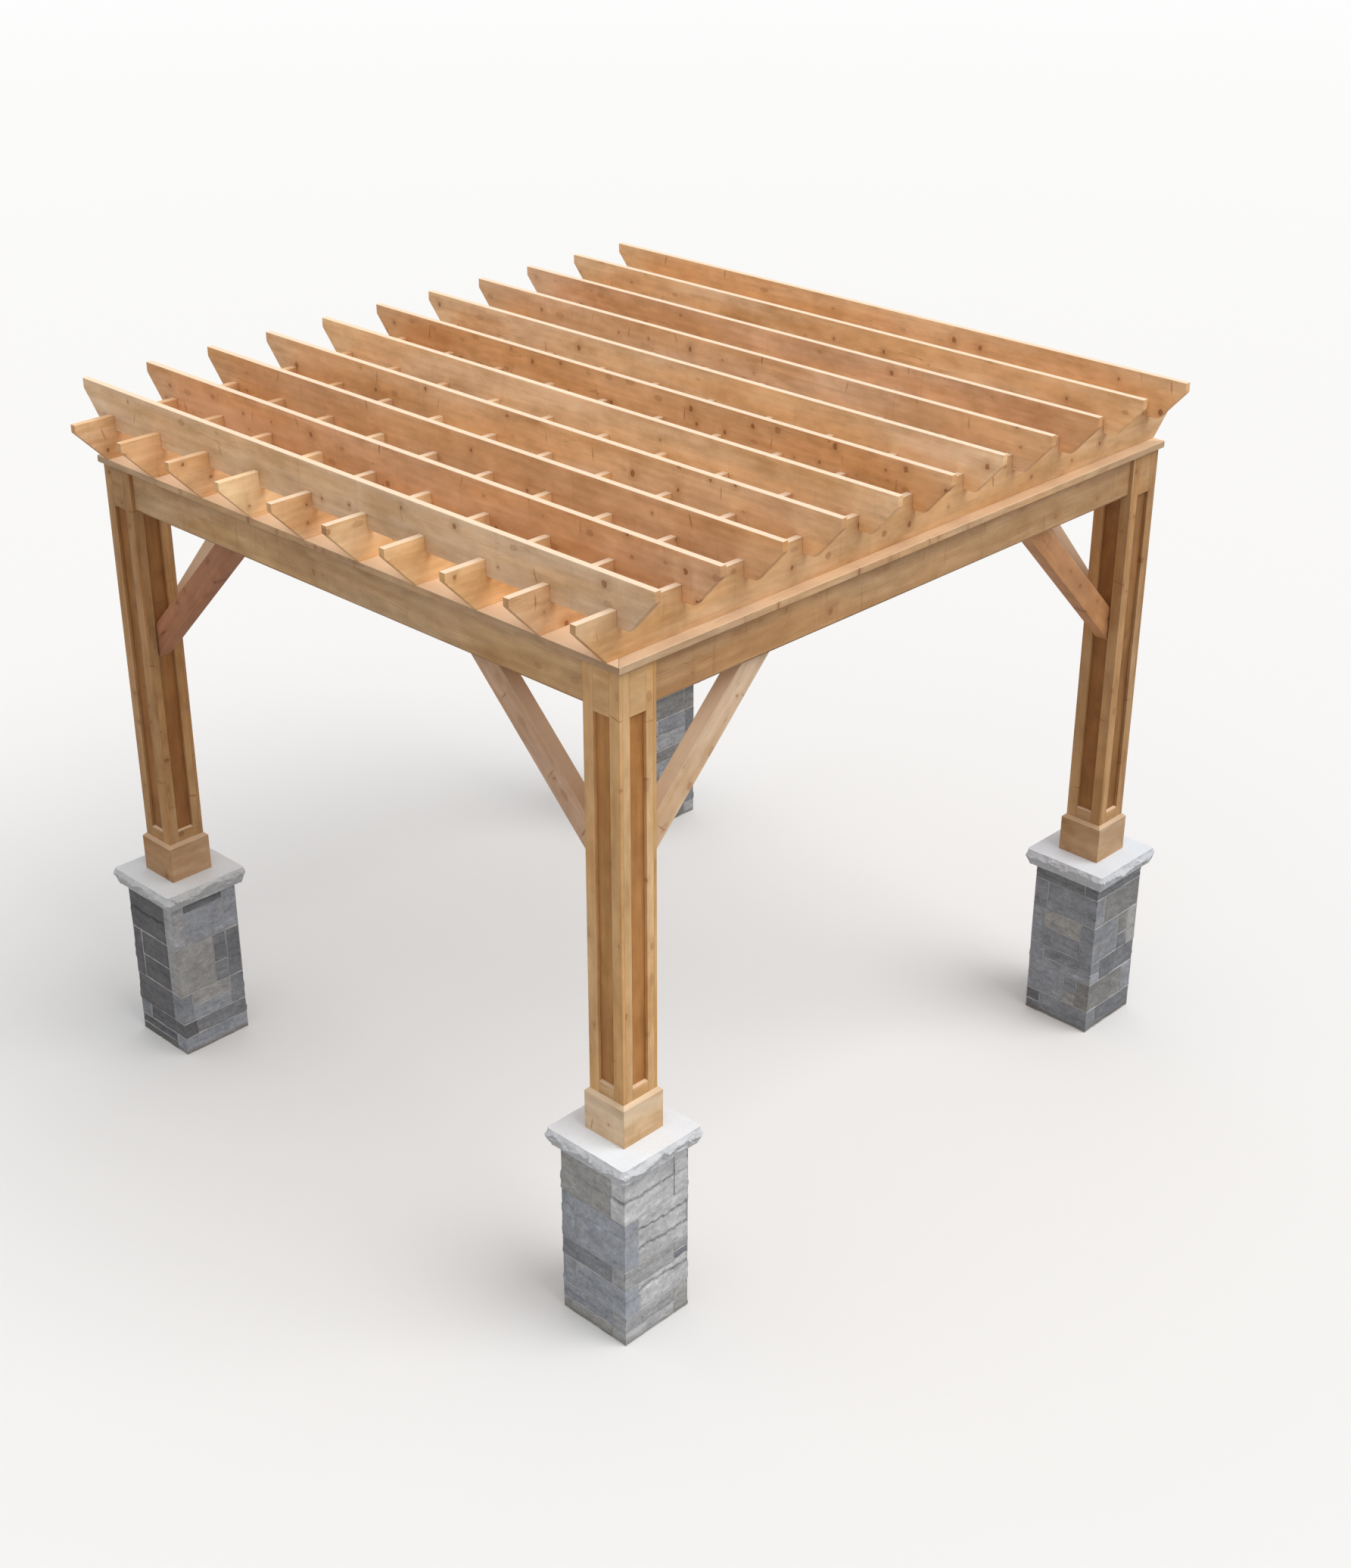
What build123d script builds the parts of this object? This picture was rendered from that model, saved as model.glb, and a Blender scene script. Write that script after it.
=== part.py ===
"""Wooden pergola: stone piers, panelled box columns, box beams and a cross-halved board canopy.

Units are millimetres. +Z is up and +X runs along the front beam, to the right.
The origin is on the ground, midway between the four piers.
"""

import os
from math import cos, radians, sin, sqrt

from build123d import *

# Plan of the columns, measured between their centres
column_spacing_x = 4000.0
column_spacing_y = 3772.0

# Stone piers
pier_width = 460.0
pier_height = 1028.0

# Cap slabs, pitched from a narrow band at their widest in towards the top and the underside
cap_overhang = 62.0
cap_thickness = 102.0
cap_band = 6.0
cap_top_pitch = 20.0
cap_top_pitch_height = 36.0
cap_under_pitch = 33.0
cap_underside_radius = 3.0

# Box columns with a framed, recessed panel in each face
column_width = 235.0
column_height = 2546.0
stile_width = 65.0
top_rail_height = 239.0
bottom_rail_height = 305.0
panel_recess = 19.0
sill_slope = 5.0

# Board skirt round the foot of each column
skirt_board = 20.0
skirt_height = 238.0
skirt_bevel = 18.0

# Flat plates on top of the columns and beams, mitred at the corners
plate_width = 286.0
plate_thickness = 38.0
plate_overhang = 22.0
mitre_gap = 0.4

# Knee braces at 45 degrees, seated on the column panels and in the beam grooves
brace_depth = 140.0
brace_reach = 1005.0
brace_panel_gap = 8.0
brace_groove_gap = 15.0

# Box beams between the columns, with the bottom board set up between the side boards
beam_height = 222.0
beam_setback = 20.0
beam_groove = 6.0

# Canopy boards on edge, joists below and rafters above, halved over each other
board_thickness = 38.0
board_depth = 235.0
lap_depth = 84.0
notch_clearance = 0.5

# Joists run along X and stand on the plates, the outer ones set in from the plates' outer edges
joist_count = 10
joist_line_inset = 93.5
joist_tail = 184.0
joist_nose = 45.0

# Rafters run along Y, halved over the joists, the outer ones above the side plates
rafter_count = 11
rafter_line_inset = 83.5
rafter_tail = 160.0
rafter_nose = 55.0

# Levels, from the ground up
column_bottom = pier_height + cap_thickness
plate_bottom = column_bottom + column_height
beam_bottom = plate_bottom - beam_height
joist_bottom = plate_bottom + plate_thickness
joist_top = joist_bottom + board_depth
rafter_bottom = joist_top - lap_depth

# Sizes that follow from those above
cap_width = pier_width + 2 * cap_overhang
cap_corner_radius = cap_under_pitch + cap_underside_radius
cap_under_pitch_height = cap_thickness - cap_top_pitch_height - cap_band
skirt_width = column_width + 2 * skirt_board
panel_width = column_width - 2 * stile_width
brace_width = panel_width - 2 * brace_panel_gap
beam_width = column_width - 2 * beam_setback
groove_width = brace_width + 2 * brace_groove_gap
notch_width = board_thickness + 2 * notch_clearance

# Distances from the centre of the plan
column_x = column_spacing_x / 2
column_y = column_spacing_y / 2
plate_edge_x = column_x + column_width / 2 + plate_overhang
plate_edge_y = column_y + column_width / 2 + plate_overhang

# Centre of each column in plan
column_centers = {
    "front_left": (-column_x, -column_y),
    "front_right": (column_x, -column_y),
    "back_left": (-column_x, column_y),
    "back_right": (column_x, column_y),
}

# Each side as its turn about Z, half the distance between its columns, and its distance from the centre
sides = {
    "front": (0, column_x, column_y),
    "right": (90, column_y, column_x),
    "back": (180, column_x, column_y),
    "left": (270, column_y, column_x),
}


def elevation_plane(turn, distance):
    """Vertical plane of one side, seen from outside: local x along the side, local y up."""
    along = Vector(cos(radians(turn)), sin(radians(turn)), 0)
    outward = along.cross(Vector(0, 0, 1))
    return Plane(origin=outward * distance, x_dir=along, z_dir=outward)


def section_plane(turn, distance):
    """Vertical plane across one side at its middle: local x outward, local y up."""
    elevation = elevation_plane(turn, distance)
    return Plane(origin=elevation.origin, x_dir=elevation.z_dir, z_dir=-elevation.x_dir)


def even_lines(count, outermost):
    """Places of evenly spaced lines from -outermost to +outermost."""
    pitch = 2 * outermost / (count - 1)
    return [-outermost + i * pitch for i in range(count)]


def save(piece, name):
    """Label a finished piece and write it as one STEP file."""
    piece.part.label = name
    export_step(piece.part, f"parts/{name}.step")


def make_pier(center):
    """Square masonry pier."""
    with BuildPart() as pier:
        with BuildSketch():
            with Locations(center):
                Rectangle(pier_width, pier_width)
        extrude(amount=pier_height)
    return pier


def make_caps():
    """Cap slabs that overhang the piers, with rounded corners and pitched edges."""
    with BuildPart() as cap:
        with BuildSketch(Plane.XY.offset(pier_height)):
            RectangleRounded(cap_width, cap_width, cap_corner_radius)
        extrude(amount=cap_thickness)
        top = cap.faces().sort_by(Axis.Z)[-1]
        chamfer(top.edges(), cap_top_pitch, cap_top_pitch_height, reference=top)
        underside = cap.faces().sort_by(Axis.Z)[0]
        chamfer(underside.edges(), cap_under_pitch, cap_under_pitch_height, reference=underside)
    with BuildPart() as caps:
        with Locations(*column_centers.values()):
            add(cap.part)
    return caps


def make_skirts():
    """Board skirts round the feet of the columns, bevelled along their top."""
    foot = Plane.XY.offset(column_bottom)
    with BuildPart() as skirts:
        with BuildSketch(foot):
            with Locations(*column_centers.values()):
                Rectangle(skirt_width, skirt_width)
        extrude(amount=skirt_height)
        top_rims = skirts.faces().filter_by(Axis.Z).group_by(Axis.Z)[-1].edges()
        chamfer(top_rims, length=skirt_bevel)
        with BuildSketch(foot):
            with Locations(*column_centers.values()):
                Rectangle(column_width, column_width)
        extrude(amount=skirt_height, mode=Mode.SUBTRACT)
    return skirts


def make_column(center):
    """Box column: stiles and rails stand proud of a panel in all four faces, over a sloped sill."""
    face = column_width / 2
    panel = face - panel_recess
    sill = column_bottom + bottom_rail_height
    panel_top = plate_bottom - top_rail_height
    with BuildPart() as column:
        with BuildSketch(Plane.XY.offset(column_bottom)):
            with Locations(center):
                Rectangle(column_width, column_width)
        extrude(amount=column_height)
        for turn, _, _ in sides.values():
            across = section_plane(turn, 0)
            across.origin = Vector(*center)
            with BuildSketch(across):
                with BuildLine():
                    Polyline(
                        (face, sill), (panel, sill + sill_slope), (panel, panel_top), (face, panel_top),
                        close=True,
                    )
                make_face()
            extrude(amount=panel_width / 2, both=True, mode=Mode.SUBTRACT)
    return column


def make_beam(turn, half_span, distance):
    """Box beam that fills the side between two columns, with a shallow groove under its bottom board."""
    with BuildPart() as beam:
        with BuildSketch(section_plane(turn, distance)):
            with Locations((0, beam_bottom)):
                Rectangle(beam_width, beam_height, align=(Align.CENTER, Align.MIN))
                Rectangle(groove_width, beam_groove, align=(Align.CENTER, Align.MIN), mode=Mode.SUBTRACT)
        extrude(amount=half_span - column_width / 2, both=True)
    return beam


def make_plate(turn, half_span, distance):
    """Flat board on the beam and columns of one side, mitred at both ends."""
    edge = distance + column_width / 2 + plate_overhang
    outer = half_span + column_width / 2 + plate_overhang - mitre_gap / sqrt(2)
    inner = outer - plate_width
    with BuildPart() as plate:
        with BuildSketch(Plane.XY.offset(plate_bottom).rotated((0, 0, turn))):
            with BuildLine():
                Polyline(
                    (-outer, -edge), (outer, -edge),
                    (inner, plate_width - edge), (-inner, plate_width - edge), close=True,
                )
            make_face()
        extrude(amount=plate_thickness)
    return plate


def make_braces(turn, half_span, distance):
    """Two knee braces of one side, from the recessed column panels up into the beam groove."""
    seat = column_width / 2 - panel_recess
    rise = brace_depth * sqrt(2)
    reach = brace_reach + beam_groove
    top = beam_bottom + beam_groove
    foot = top - (reach - seat)
    outline = [(seat, foot), (reach, top), (reach - rise, top), (seat, foot + rise)]
    with BuildPart() as braces:
        with BuildSketch(elevation_plane(turn, distance)):
            for end in (-1, 1):
                with BuildLine():
                    Polyline(*[(end * (half_span - u), z) for u, z in outline], close=True)
                make_face()
        extrude(amount=brace_width / 2, both=True)
    return braces


def make_canopy_board(plane, bottom, foot, tail, nose, notch_lines, notch_bottom):
    """Board on edge with undercut tails, notched by half the lap where the other boards cross it."""
    tip = foot + tail
    top = bottom + board_depth
    with BuildPart() as board:
        with BuildSketch(plane):
            with BuildLine():
                Polyline(
                    (-foot, bottom), (foot, bottom), (tip, top - nose),
                    (tip, top), (-tip, top), (-tip, top - nose), close=True,
                )
            make_face()
            with Locations(*[(line, notch_bottom) for line in notch_lines]):
                Rectangle(notch_width, lap_depth / 2, align=(Align.CENTER, Align.MIN), mode=Mode.SUBTRACT)
        extrude(amount=board_thickness / 2, both=True)
    return board


os.makedirs("parts", exist_ok=True)

for corner, center in column_centers.items():
    save(make_pier(center), f"{corner}_pier")
    save(make_column(center), f"{corner}_column")
save(make_caps(), "pier_caps")
save(make_skirts(), "column_skirts")

for side, (turn, half_span, distance) in sides.items():
    save(make_beam(turn, half_span, distance), f"{side}_beam")
    save(make_plate(turn, half_span, distance), f"{side}_top_plate")
    save(make_braces(turn, half_span, distance), f"{side}_braces")

joist_lines = even_lines(joist_count, plate_edge_y - joist_line_inset)
rafter_lines = even_lines(rafter_count, plate_edge_x - rafter_line_inset)
lap_level = joist_top - lap_depth / 2

for number, line in enumerate(joist_lines, start=1):
    plane = elevation_plane(0, -line)
    joist = make_canopy_board(
        plane, joist_bottom, plate_edge_x, joist_tail, joist_nose, rafter_lines, lap_level
    )
    save(joist, f"joist_{number:02d}")

for number, line in enumerate(rafter_lines, start=1):
    plane = elevation_plane(90, line)
    rafter = make_canopy_board(
        plane, rafter_bottom, plate_edge_y, rafter_tail, rafter_nose, joist_lines, rafter_bottom
    )
    save(rafter, f"rafter_{number:02d}")
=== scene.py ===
"""Looks of the wooden pergola: its boards, stones and finishes, with a plain studio round them.

Everything is in metres, in the frame of the CAD model: +Z up, +X along the front beam and the
origin on the ground, midway between the four piers.
"""

import logging
import math
import random
from collections.abc import Callable, Sequence
from dataclasses import dataclass
from enum import Enum
from typing import ClassVar, TypeAlias

import bmesh
import bpy
from mathutils import Matrix, Vector, noise


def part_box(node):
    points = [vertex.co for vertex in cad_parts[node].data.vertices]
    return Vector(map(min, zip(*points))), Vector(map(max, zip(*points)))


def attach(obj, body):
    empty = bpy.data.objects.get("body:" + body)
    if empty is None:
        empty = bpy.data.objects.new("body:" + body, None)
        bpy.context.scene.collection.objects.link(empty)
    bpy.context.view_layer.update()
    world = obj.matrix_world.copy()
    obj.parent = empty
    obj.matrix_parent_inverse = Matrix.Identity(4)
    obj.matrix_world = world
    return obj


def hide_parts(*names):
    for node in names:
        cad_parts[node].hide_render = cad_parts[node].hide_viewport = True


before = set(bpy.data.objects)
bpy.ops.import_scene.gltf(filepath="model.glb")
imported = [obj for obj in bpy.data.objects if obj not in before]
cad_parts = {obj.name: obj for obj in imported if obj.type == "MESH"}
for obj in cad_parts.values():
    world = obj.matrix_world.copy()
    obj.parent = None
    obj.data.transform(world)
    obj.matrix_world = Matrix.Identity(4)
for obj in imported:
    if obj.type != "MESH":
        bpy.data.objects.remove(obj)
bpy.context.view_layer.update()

log = logging.getLogger("pergola")

Triple: TypeAlias = tuple[float, float, float]
Colour: TypeAlias = Triple
Outline: TypeAlias = Sequence[tuple[float, float]]
Value: TypeAlias = "Wire | float | Sequence[float]"
Wires: TypeAlias = "dict[str, Wire]"
Material: TypeAlias = bpy.types.Material

EAST = Vector((1.0, 0.0, 0.0))
NORTH = Vector((0.0, 1.0, 0.0))
UP = Vector((0.0, 0.0, 1.0))
WHITE = (1.0, 1.0, 1.0)
HAIR = 0.0006  # the fine line that a joiner leaves between two boards
TINY = 1e-5  # places nearer than this are the same
STRAIGHT = 0.99  # directions whose cosine is above this are the same
NOISE_ROOM = 90.0  # how far apart two parts may read the noise
CORNERS = ("front_left", "front_right", "back_left", "back_right")


class Side(Enum):
    """A side of the plan, with the direction that it faces."""

    FRONT = (0.0, -1.0)
    RIGHT = (1.0, 0.0)
    BACK = (0.0, 1.0)
    LEFT = (-1.0, 0.0)

    @property
    def outward(self) -> Vector:
        """The level direction away from the middle of the plan."""
        return Vector((*self.value, 0.0))

    @property
    def along(self) -> Vector:
        """The level direction to the right, seen from outside."""
        return UP.cross(self.outward)


class Tone(Enum):
    """How one board's colour departs from its finish, as factors on red, green and blue."""

    CREAM = (1.08, 1.13, 1.15)
    HONEY = (1.04, 1.02, 0.98)
    TAN = (0.95, 0.96, 1.02)
    ROSE = (0.94, 0.88, 0.88)
    RUSSET = (0.92, 0.84, 0.75)
    ASH = (0.89, 0.92, 0.98)
    AMBER = (0.82, 0.73, 0.66)
    UMBER = (0.76, 0.71, 0.67)
    COPPER = (0.76, 0.60, 0.47)
    RUST = (0.62, 0.41, 0.32)


class StoneTone(Enum):
    """The colour of one stone."""

    SHADOW = (0.146, 0.147, 0.156)
    SLATE = (0.198, 0.205, 0.222)
    EARTH = (0.240, 0.238, 0.235)
    DUSK = (0.262, 0.274, 0.300)
    BLUE = (0.350, 0.370, 0.412)
    FAWN = (0.400, 0.398, 0.390)
    DOVE = (0.408, 0.413, 0.430)
    PEARL = (0.545, 0.550, 0.568)


class Box:
    """The space that a CAD node takes up."""

    def __init__(self, node: str) -> None:
        """Read the node's box.

        Args:
            node: The node's name.
        """
        self.low, self.high = (Vector(point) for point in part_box(node))
        self.size = self.high - self.low
        self.middle = (self.low + self.high) / 2
        self.plan = Vector((self.middle.x, self.middle.y, 0.0))

    def half(self, way: Vector) -> float:
        """Half the box's size along an axis."""
        return abs(self.size.dot(way)) / 2

    def edge(self, way: Vector) -> float:
        """How far the box reaches from the origin along an axis."""
        return max(self.low.dot(way), self.high.dot(way))


# Shader nodes


class Wire:
    """What one output of a node gives, for use in sums and products like a number."""

    def __init__(self, graph: "Graph", socket: bpy.types.NodeSocket) -> None:
        """Hold the output."""
        self.graph = graph
        self.socket = socket

    def __add__(self, other: Value) -> "Wire":
        """The sum."""
        return self.graph.math("ADD", self, other)

    def __sub__(self, other: Value) -> "Wire":
        """The difference."""
        return self.graph.math("SUBTRACT", self, other)

    def __rsub__(self, other: Value) -> "Wire":
        """The difference from a constant."""
        return self.graph.math("SUBTRACT", other, self)

    def __mul__(self, other: Value) -> "Wire":
        """The product; a number scales every part of a vector or a colour."""
        return self.graph.math("MULTIPLY", self, other)

    def __truediv__(self, other: Value) -> "Wire":
        """The quotient."""
        return self.graph.math("DIVIDE", self, other)

    def __lt__(self, other: Value) -> "Wire":
        """One where this is the smaller, and zero elsewhere."""
        return self.graph.math("LESS_THAN", self, other)

    def __abs__(self) -> "Wire":
        """The number without its sign."""
        return self.graph.math("ABSOLUTE", self)

    __radd__ = __add__
    __rmul__ = __mul__


def is_number(value: Value) -> bool:
    """Whether a value is a number, and no vector or colour."""
    return value.socket.type == "VALUE" if isinstance(value, Wire) else isinstance(value, float)


class Graph:
    """Places and links the nodes of one tree."""

    def __init__(self, tree: bpy.types.NodeTree) -> None:
        """Start on an empty tree."""
        self.tree = tree
        tree.nodes.clear()

    def feed(self, socket: bpy.types.NodeSocket, value: Value) -> None:
        """Link an input to a wire, or set its constant.

        Args:
            socket: The input.
            value: A wire, a number, a vector, or a colour without alpha.
        """
        if isinstance(value, Wire):
            self.tree.links.new(value.socket, socket)
        elif socket.type == "RGBA":
            socket.default_value = (*value, 1.0)
        elif socket.type == "VECTOR" and is_number(value):
            socket.default_value = (value, value, value)
        else:
            socket.default_value = value

    def node(self, kind: str, inputs: dict | None = None, **settings: object) -> bpy.types.Node:
        """Add a node.

        Args:
            kind: The node's Blender type, without the ShaderNode in front.
            inputs: What each input is fed with, by name or number.
            **settings: The node's own settings.

        Returns:
            The new node.
        """
        made = self.tree.nodes.new(f"ShaderNode{kind}")
        for key, value in settings.items():
            setattr(made, key, value)
        for key, value in (inputs or {}).items():
            self.feed(made.inputs[key], value)
        return made

    def take(
        self, kind: str, inputs: dict | None = None, output: int | str = 0, **settings: object
    ) -> Wire:
        """Add a node for one of its outputs; the other arguments are those of node."""
        return Wire(self, self.node(kind, inputs, **settings).outputs[output])

    def outputs(self, node: bpy.types.Node) -> Wires:
        """All that a node gives, by name."""
        return {socket.name: Wire(self, socket) for socket in node.outputs if socket.name}

    def math(self, operation: str, *terms: Value, clamp: bool = False) -> Wire:
        """Work out a number, or a vector where one of the terms is a vector or a colour.

        Args:
            operation: Blender's name for the operation.
            *terms: Its terms.
            clamp: Whether a number is kept between 0 and 1.

        Returns:
            The result.
        """
        inputs = dict(enumerate(terms))
        if all(is_number(term) for term in terms):
            return self.take("Math", inputs, operation=operation, use_clamp=clamp)
        return self.take("VectorMath", inputs, operation=operation)

    def clamp(self, value: Value) -> Wire:
        """Keep a number between 0 and 1."""
        return self.math("ADD", value, 0.0, clamp=True)

    def length(self, value: Value) -> Wire:
        """The length of a vector."""
        return self.take("VectorMath", {0: value}, "Value", operation="LENGTH")

    def split(self, value: Value) -> tuple[Wire, ...]:
        """Take a vector apart into its three numbers."""
        return tuple(self.outputs(self.node("SeparateXYZ", {0: value})).values())

    def join(self, x: Value, y: Value, z: Value = 0.0) -> Wire:
        """Make a vector of three numbers."""
        return self.take("CombineXYZ", {0: x, 1: y, 2: z})

    def noise(self, place: Wire, scale: Triple, detail: float = 2.0, rough: float = 0.5) -> Wire:
        """Smooth noise from 0 to 1.

        Args:
            place: The coordinates.
            scale: How many waves to a metre in each direction.
            detail: How many finer layers are added.
            rough: How strong those are.

        Returns:
            The noise's value.
        """
        inputs = {"Vector": place * scale, "Scale": 1.0, "Detail": detail, "Roughness": rough}
        return self.take("TexNoise", inputs, noise_dimensions="3D")

    def swing(self, amount: float, *args: object) -> Wire:
        """Noise that swings either way from zero; the other arguments are those of noise."""
        return (self.noise(*args) - 0.5) * amount

    def ease(
        self, value: Value, start: float, stop: float, low: float = 0.0, high: float = 1.0
    ) -> Wire:
        """Pass smoothly from low to high while value goes from start to stop."""
        inputs = {"Value": value, "From Min": start, "From Max": stop, "To Min": low, "To Max": high}
        return self.take("MapRange", inputs, interpolation_type="SMOOTHSTEP")

    def mix(self, share: Value, a: Value, b: Value) -> Wire:
        """Mix two colours, by the share of the second."""
        return self.take("Mix", {0: share, 6: a, 7: b}, 2, data_type="RGBA")

    def attribute(self, name: str, output: str = "Vector") -> Wire:
        """Read an attribute of the mesh."""
        return self.take("Attribute", None, output, attribute_name=name)

    def place(self) -> Wire:
        """The object's own coordinates, in metres."""
        return self.take("TexCoord", None, "Object")


@dataclass(frozen=True)
class Effect:
    """A node group that several finishes share, with a default for each input, () for a vector."""

    name: str
    inputs: dict[str, float | tuple]
    outputs: dict[str, str]
    wire: Callable[[Graph, Wires], Wires]

    def apply(self, graph: Graph, inputs: dict[str, Value]) -> Wires:
        """Use the effect in a material; its node group is made at the first use.

        Args:
            graph: The material's graph.
            inputs: What its inputs are fed with, by name.

        Returns:
            What it gives, by name.
        """
        tree = bpy.data.node_groups.get(self.name) or self._group()
        return graph.outputs(graph.node("Group", inputs, node_tree=tree))

    def _group(self) -> bpy.types.NodeTree:
        """Make the node group.

        Returns:
            The group, with its sockets and nodes.
        """
        tree = bpy.data.node_groups.new(self.name, "ShaderNodeTree")
        for label, value in self.inputs.items():
            kind = "Float" if isinstance(value, float) else "Color" if value else "Vector"
            made = tree.interface.new_socket(name=label, in_out="INPUT", socket_type=f"NodeSocket{kind}")
            if value:
                made.default_value = value if kind == "Float" else (*value, 1.0)
        for label, kind in self.outputs.items():
            tree.interface.new_socket(name=label, in_out="OUTPUT", socket_type=f"NodeSocket{kind}")
        graph = Graph(tree)
        source = graph.outputs(tree.nodes.new("NodeGroupInput"))
        sink = tree.nodes.new("NodeGroupOutput").inputs
        for label, result in self.wire(graph, source).items():
            graph.feed(sink[label], result)
        return tree


KNOT_CELL = (0.21, 0.110)  # along and across the board, for each round knot that there may be
SPIKE_CELL = (0.42, 0.19)  # the same for the long cuts through a branch
SPIKE_SIZE = (0.0055, 0.034)  # about half of such a cut, along and across the board


def scattered(g: Graph, place: Wire, cell: tuple[float, float], slip: float) -> tuple[Wire, list[Wire]]:
    """Places scattered over a board's face.

    Args:
        g: The graph.
        place: The board's own coordinates.
        cell: How far apart the places are, along and across.
        slip: A shift along the board, in cells.

    Returns:
        The way from the nearest place, and that place's three chance numbers.
    """
    u, v, _ = g.split(place)
    at = g.join(u / cell[0] + slip, v / cell[1])
    inputs = {"Vector": at, "Scale": 1.0, "Randomness": 0.85}
    near = g.outputs(g.node("TexVoronoi", inputs, voronoi_dimensions="2D", feature="F1"))
    chance = g.outputs(g.node("SeparateColor", {0: near["Color"]}))
    return (at - near["Position"]) * (*cell, 0.0), list(chance.values())


def wire_grain(g: Graph, source: Wires) -> Wires:
    """Solid sawn wood: growth rings round a pith, streaks, knots with halos, and drying checks.

    Args:
        g: The group's graph.
        source: The group's inputs.

    Returns:
        The group's results by name.
    """
    place, late, dark, knots = (source[name] for name in ("Grain", "Late", "Knot", "Knots"))
    u, v, w = g.split(place)

    # Knots are oval and ragged, and each has a dark core, a darker rim and a wide halo
    ragged = g.swing(1.1, place, (75.0, 75.0, 75.0), 2.0)
    way, (wide, rare, strong) = scattered(g, place, KNOT_CELL, 0.0)
    there = (rare < knots) * g.ease(strong, 0.0, 1.0, 0.30, 1.0)
    oval = g.length(way * g.join(g.ease(strong, 0.0, 1.0, 0.50, 1.25), 1.0))
    reach = oval / g.ease(wide, 0.0, 1.0, 0.0050, 0.0165) + ragged
    core = g.ease(reach, 1.25, 0.65) * there
    rim = g.ease(abs(reach - 0.95), 0.40, 0.05) * there
    halo = g.ease(reach, 5.5, 0.8) * there
    bend = g.ease(reach, 5.0, 0.2) * there * 0.018

    # Long cuts through a branch lean a little, and each is as likely as a knot
    way, (strong, rare, leaning) = scattered(g, place, SPIKE_CELL, 0.37)
    x, y, _ = g.split(way)
    stretched = g.join(x + y * (leaning - 0.5) * 0.7, y) / (*SPIKE_SIZE, 1.0)
    spike = g.ease(g.length(stretched) + ragged * 1.3, 1.5, 0.3)
    spike = spike * (rare < knots) * g.ease(strong, 0.0, 1.0, 0.3, 0.8)

    # Rings run round the pith, bent by slow waves and by the knots
    flow = g.swing(0.11, place, (0.75, 3.5, 3.5), 2.0)
    ripple = g.swing(0.006, place, (5.0, 26.0, 26.0), 1.0)
    radius = g.length(g.join(v, w)) + u * 0.008 + flow + ripple + bend
    phase = g.math("FRACT", radius / source["Ring"])
    ring = g.ease(phase, 0.30, 0.93) * g.ease(phase, 1.0, 0.94)
    band = g.math("SINE", radius / (source["Ring"] * 0.95))
    fibre = g.swing(1.0, place, (6.0, 420.0, 420.0), 2.0, 0.6)
    streak = g.swing(1.0, place, (0.7, 22.0, 22.0), 3.0, 0.65)
    cloud = g.swing(1.0, place, (1.5, 4.0, 4.0), 2.0)
    patch = g.swing(0.80, place, (6.0, 14.0, 14.0), 3.0, 0.6)
    vein = g.ease(g.noise(place, (0.9, 75.0, 75.0), 2.0), 0.60, 0.74)

    # Drying checks are thin and stand in groups
    line = abs(g.swing(1.0, place, (1.3, 30.0, 30.0), 1.5))
    where = g.noise(place + (7.3, 2.1, 4.4), (1.5, 8.0, 8.0), 1.0)
    crack = g.ease(line, 0.007, 0.001) * g.ease(where, 0.56, 0.62) * source["Checks"]

    # Colour of the clear wood, then its stains, then the knots
    share = 0.34 + (ring * 0.42 + band * 0.12) * source["Figure"] + streak * 0.85 + fibre * 0.45
    colour = g.mix(g.clamp(share), source["Early"], late)
    blush = g.clamp(0.5 + g.swing(3.6, place, (0.8, 5.0, 5.0), 2.0))
    colour = colour * g.mix(blush, (1.04, 1.09, 1.20), (1.01, 0.93, 0.82))
    colour = colour * ((cloud * 0.85 + patch) * (0.80, 1.0, 1.30) + WHITE)
    stained = g.ease(g.noise(place, (3.0, 7.0, 7.0), 3.0, 0.6), 0.50, 0.70)
    stained = g.clamp(stained * (knots - 0.25) * 0.55)
    colour = g.mix(stained, colour, g.mix(0.5, late, dark))
    colour = g.mix(vein * 0.12, colour, dark)
    colour = g.mix(halo * 0.52, colour, g.mix(0.30, late, dark))
    colour = g.mix(spike * 0.90, colour, dark)
    eye = 0.95 + g.math("SINE", reach * 9.0) * 0.2
    colour = g.mix(core * 0.92, colour, dark * eye)
    colour = g.mix(rim * 0.40, colour, dark * 0.60)
    return {
        "Color": g.mix(crack * 0.85, colour, dark * 0.45),
        "Roughness": 0.70 + fibre * 0.3 + ring * -0.08 + core * -0.12,
        "Height": ring * 0.12 + fibre * 0.5 + crack * -1.6 + core * 0.15,
    }


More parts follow.
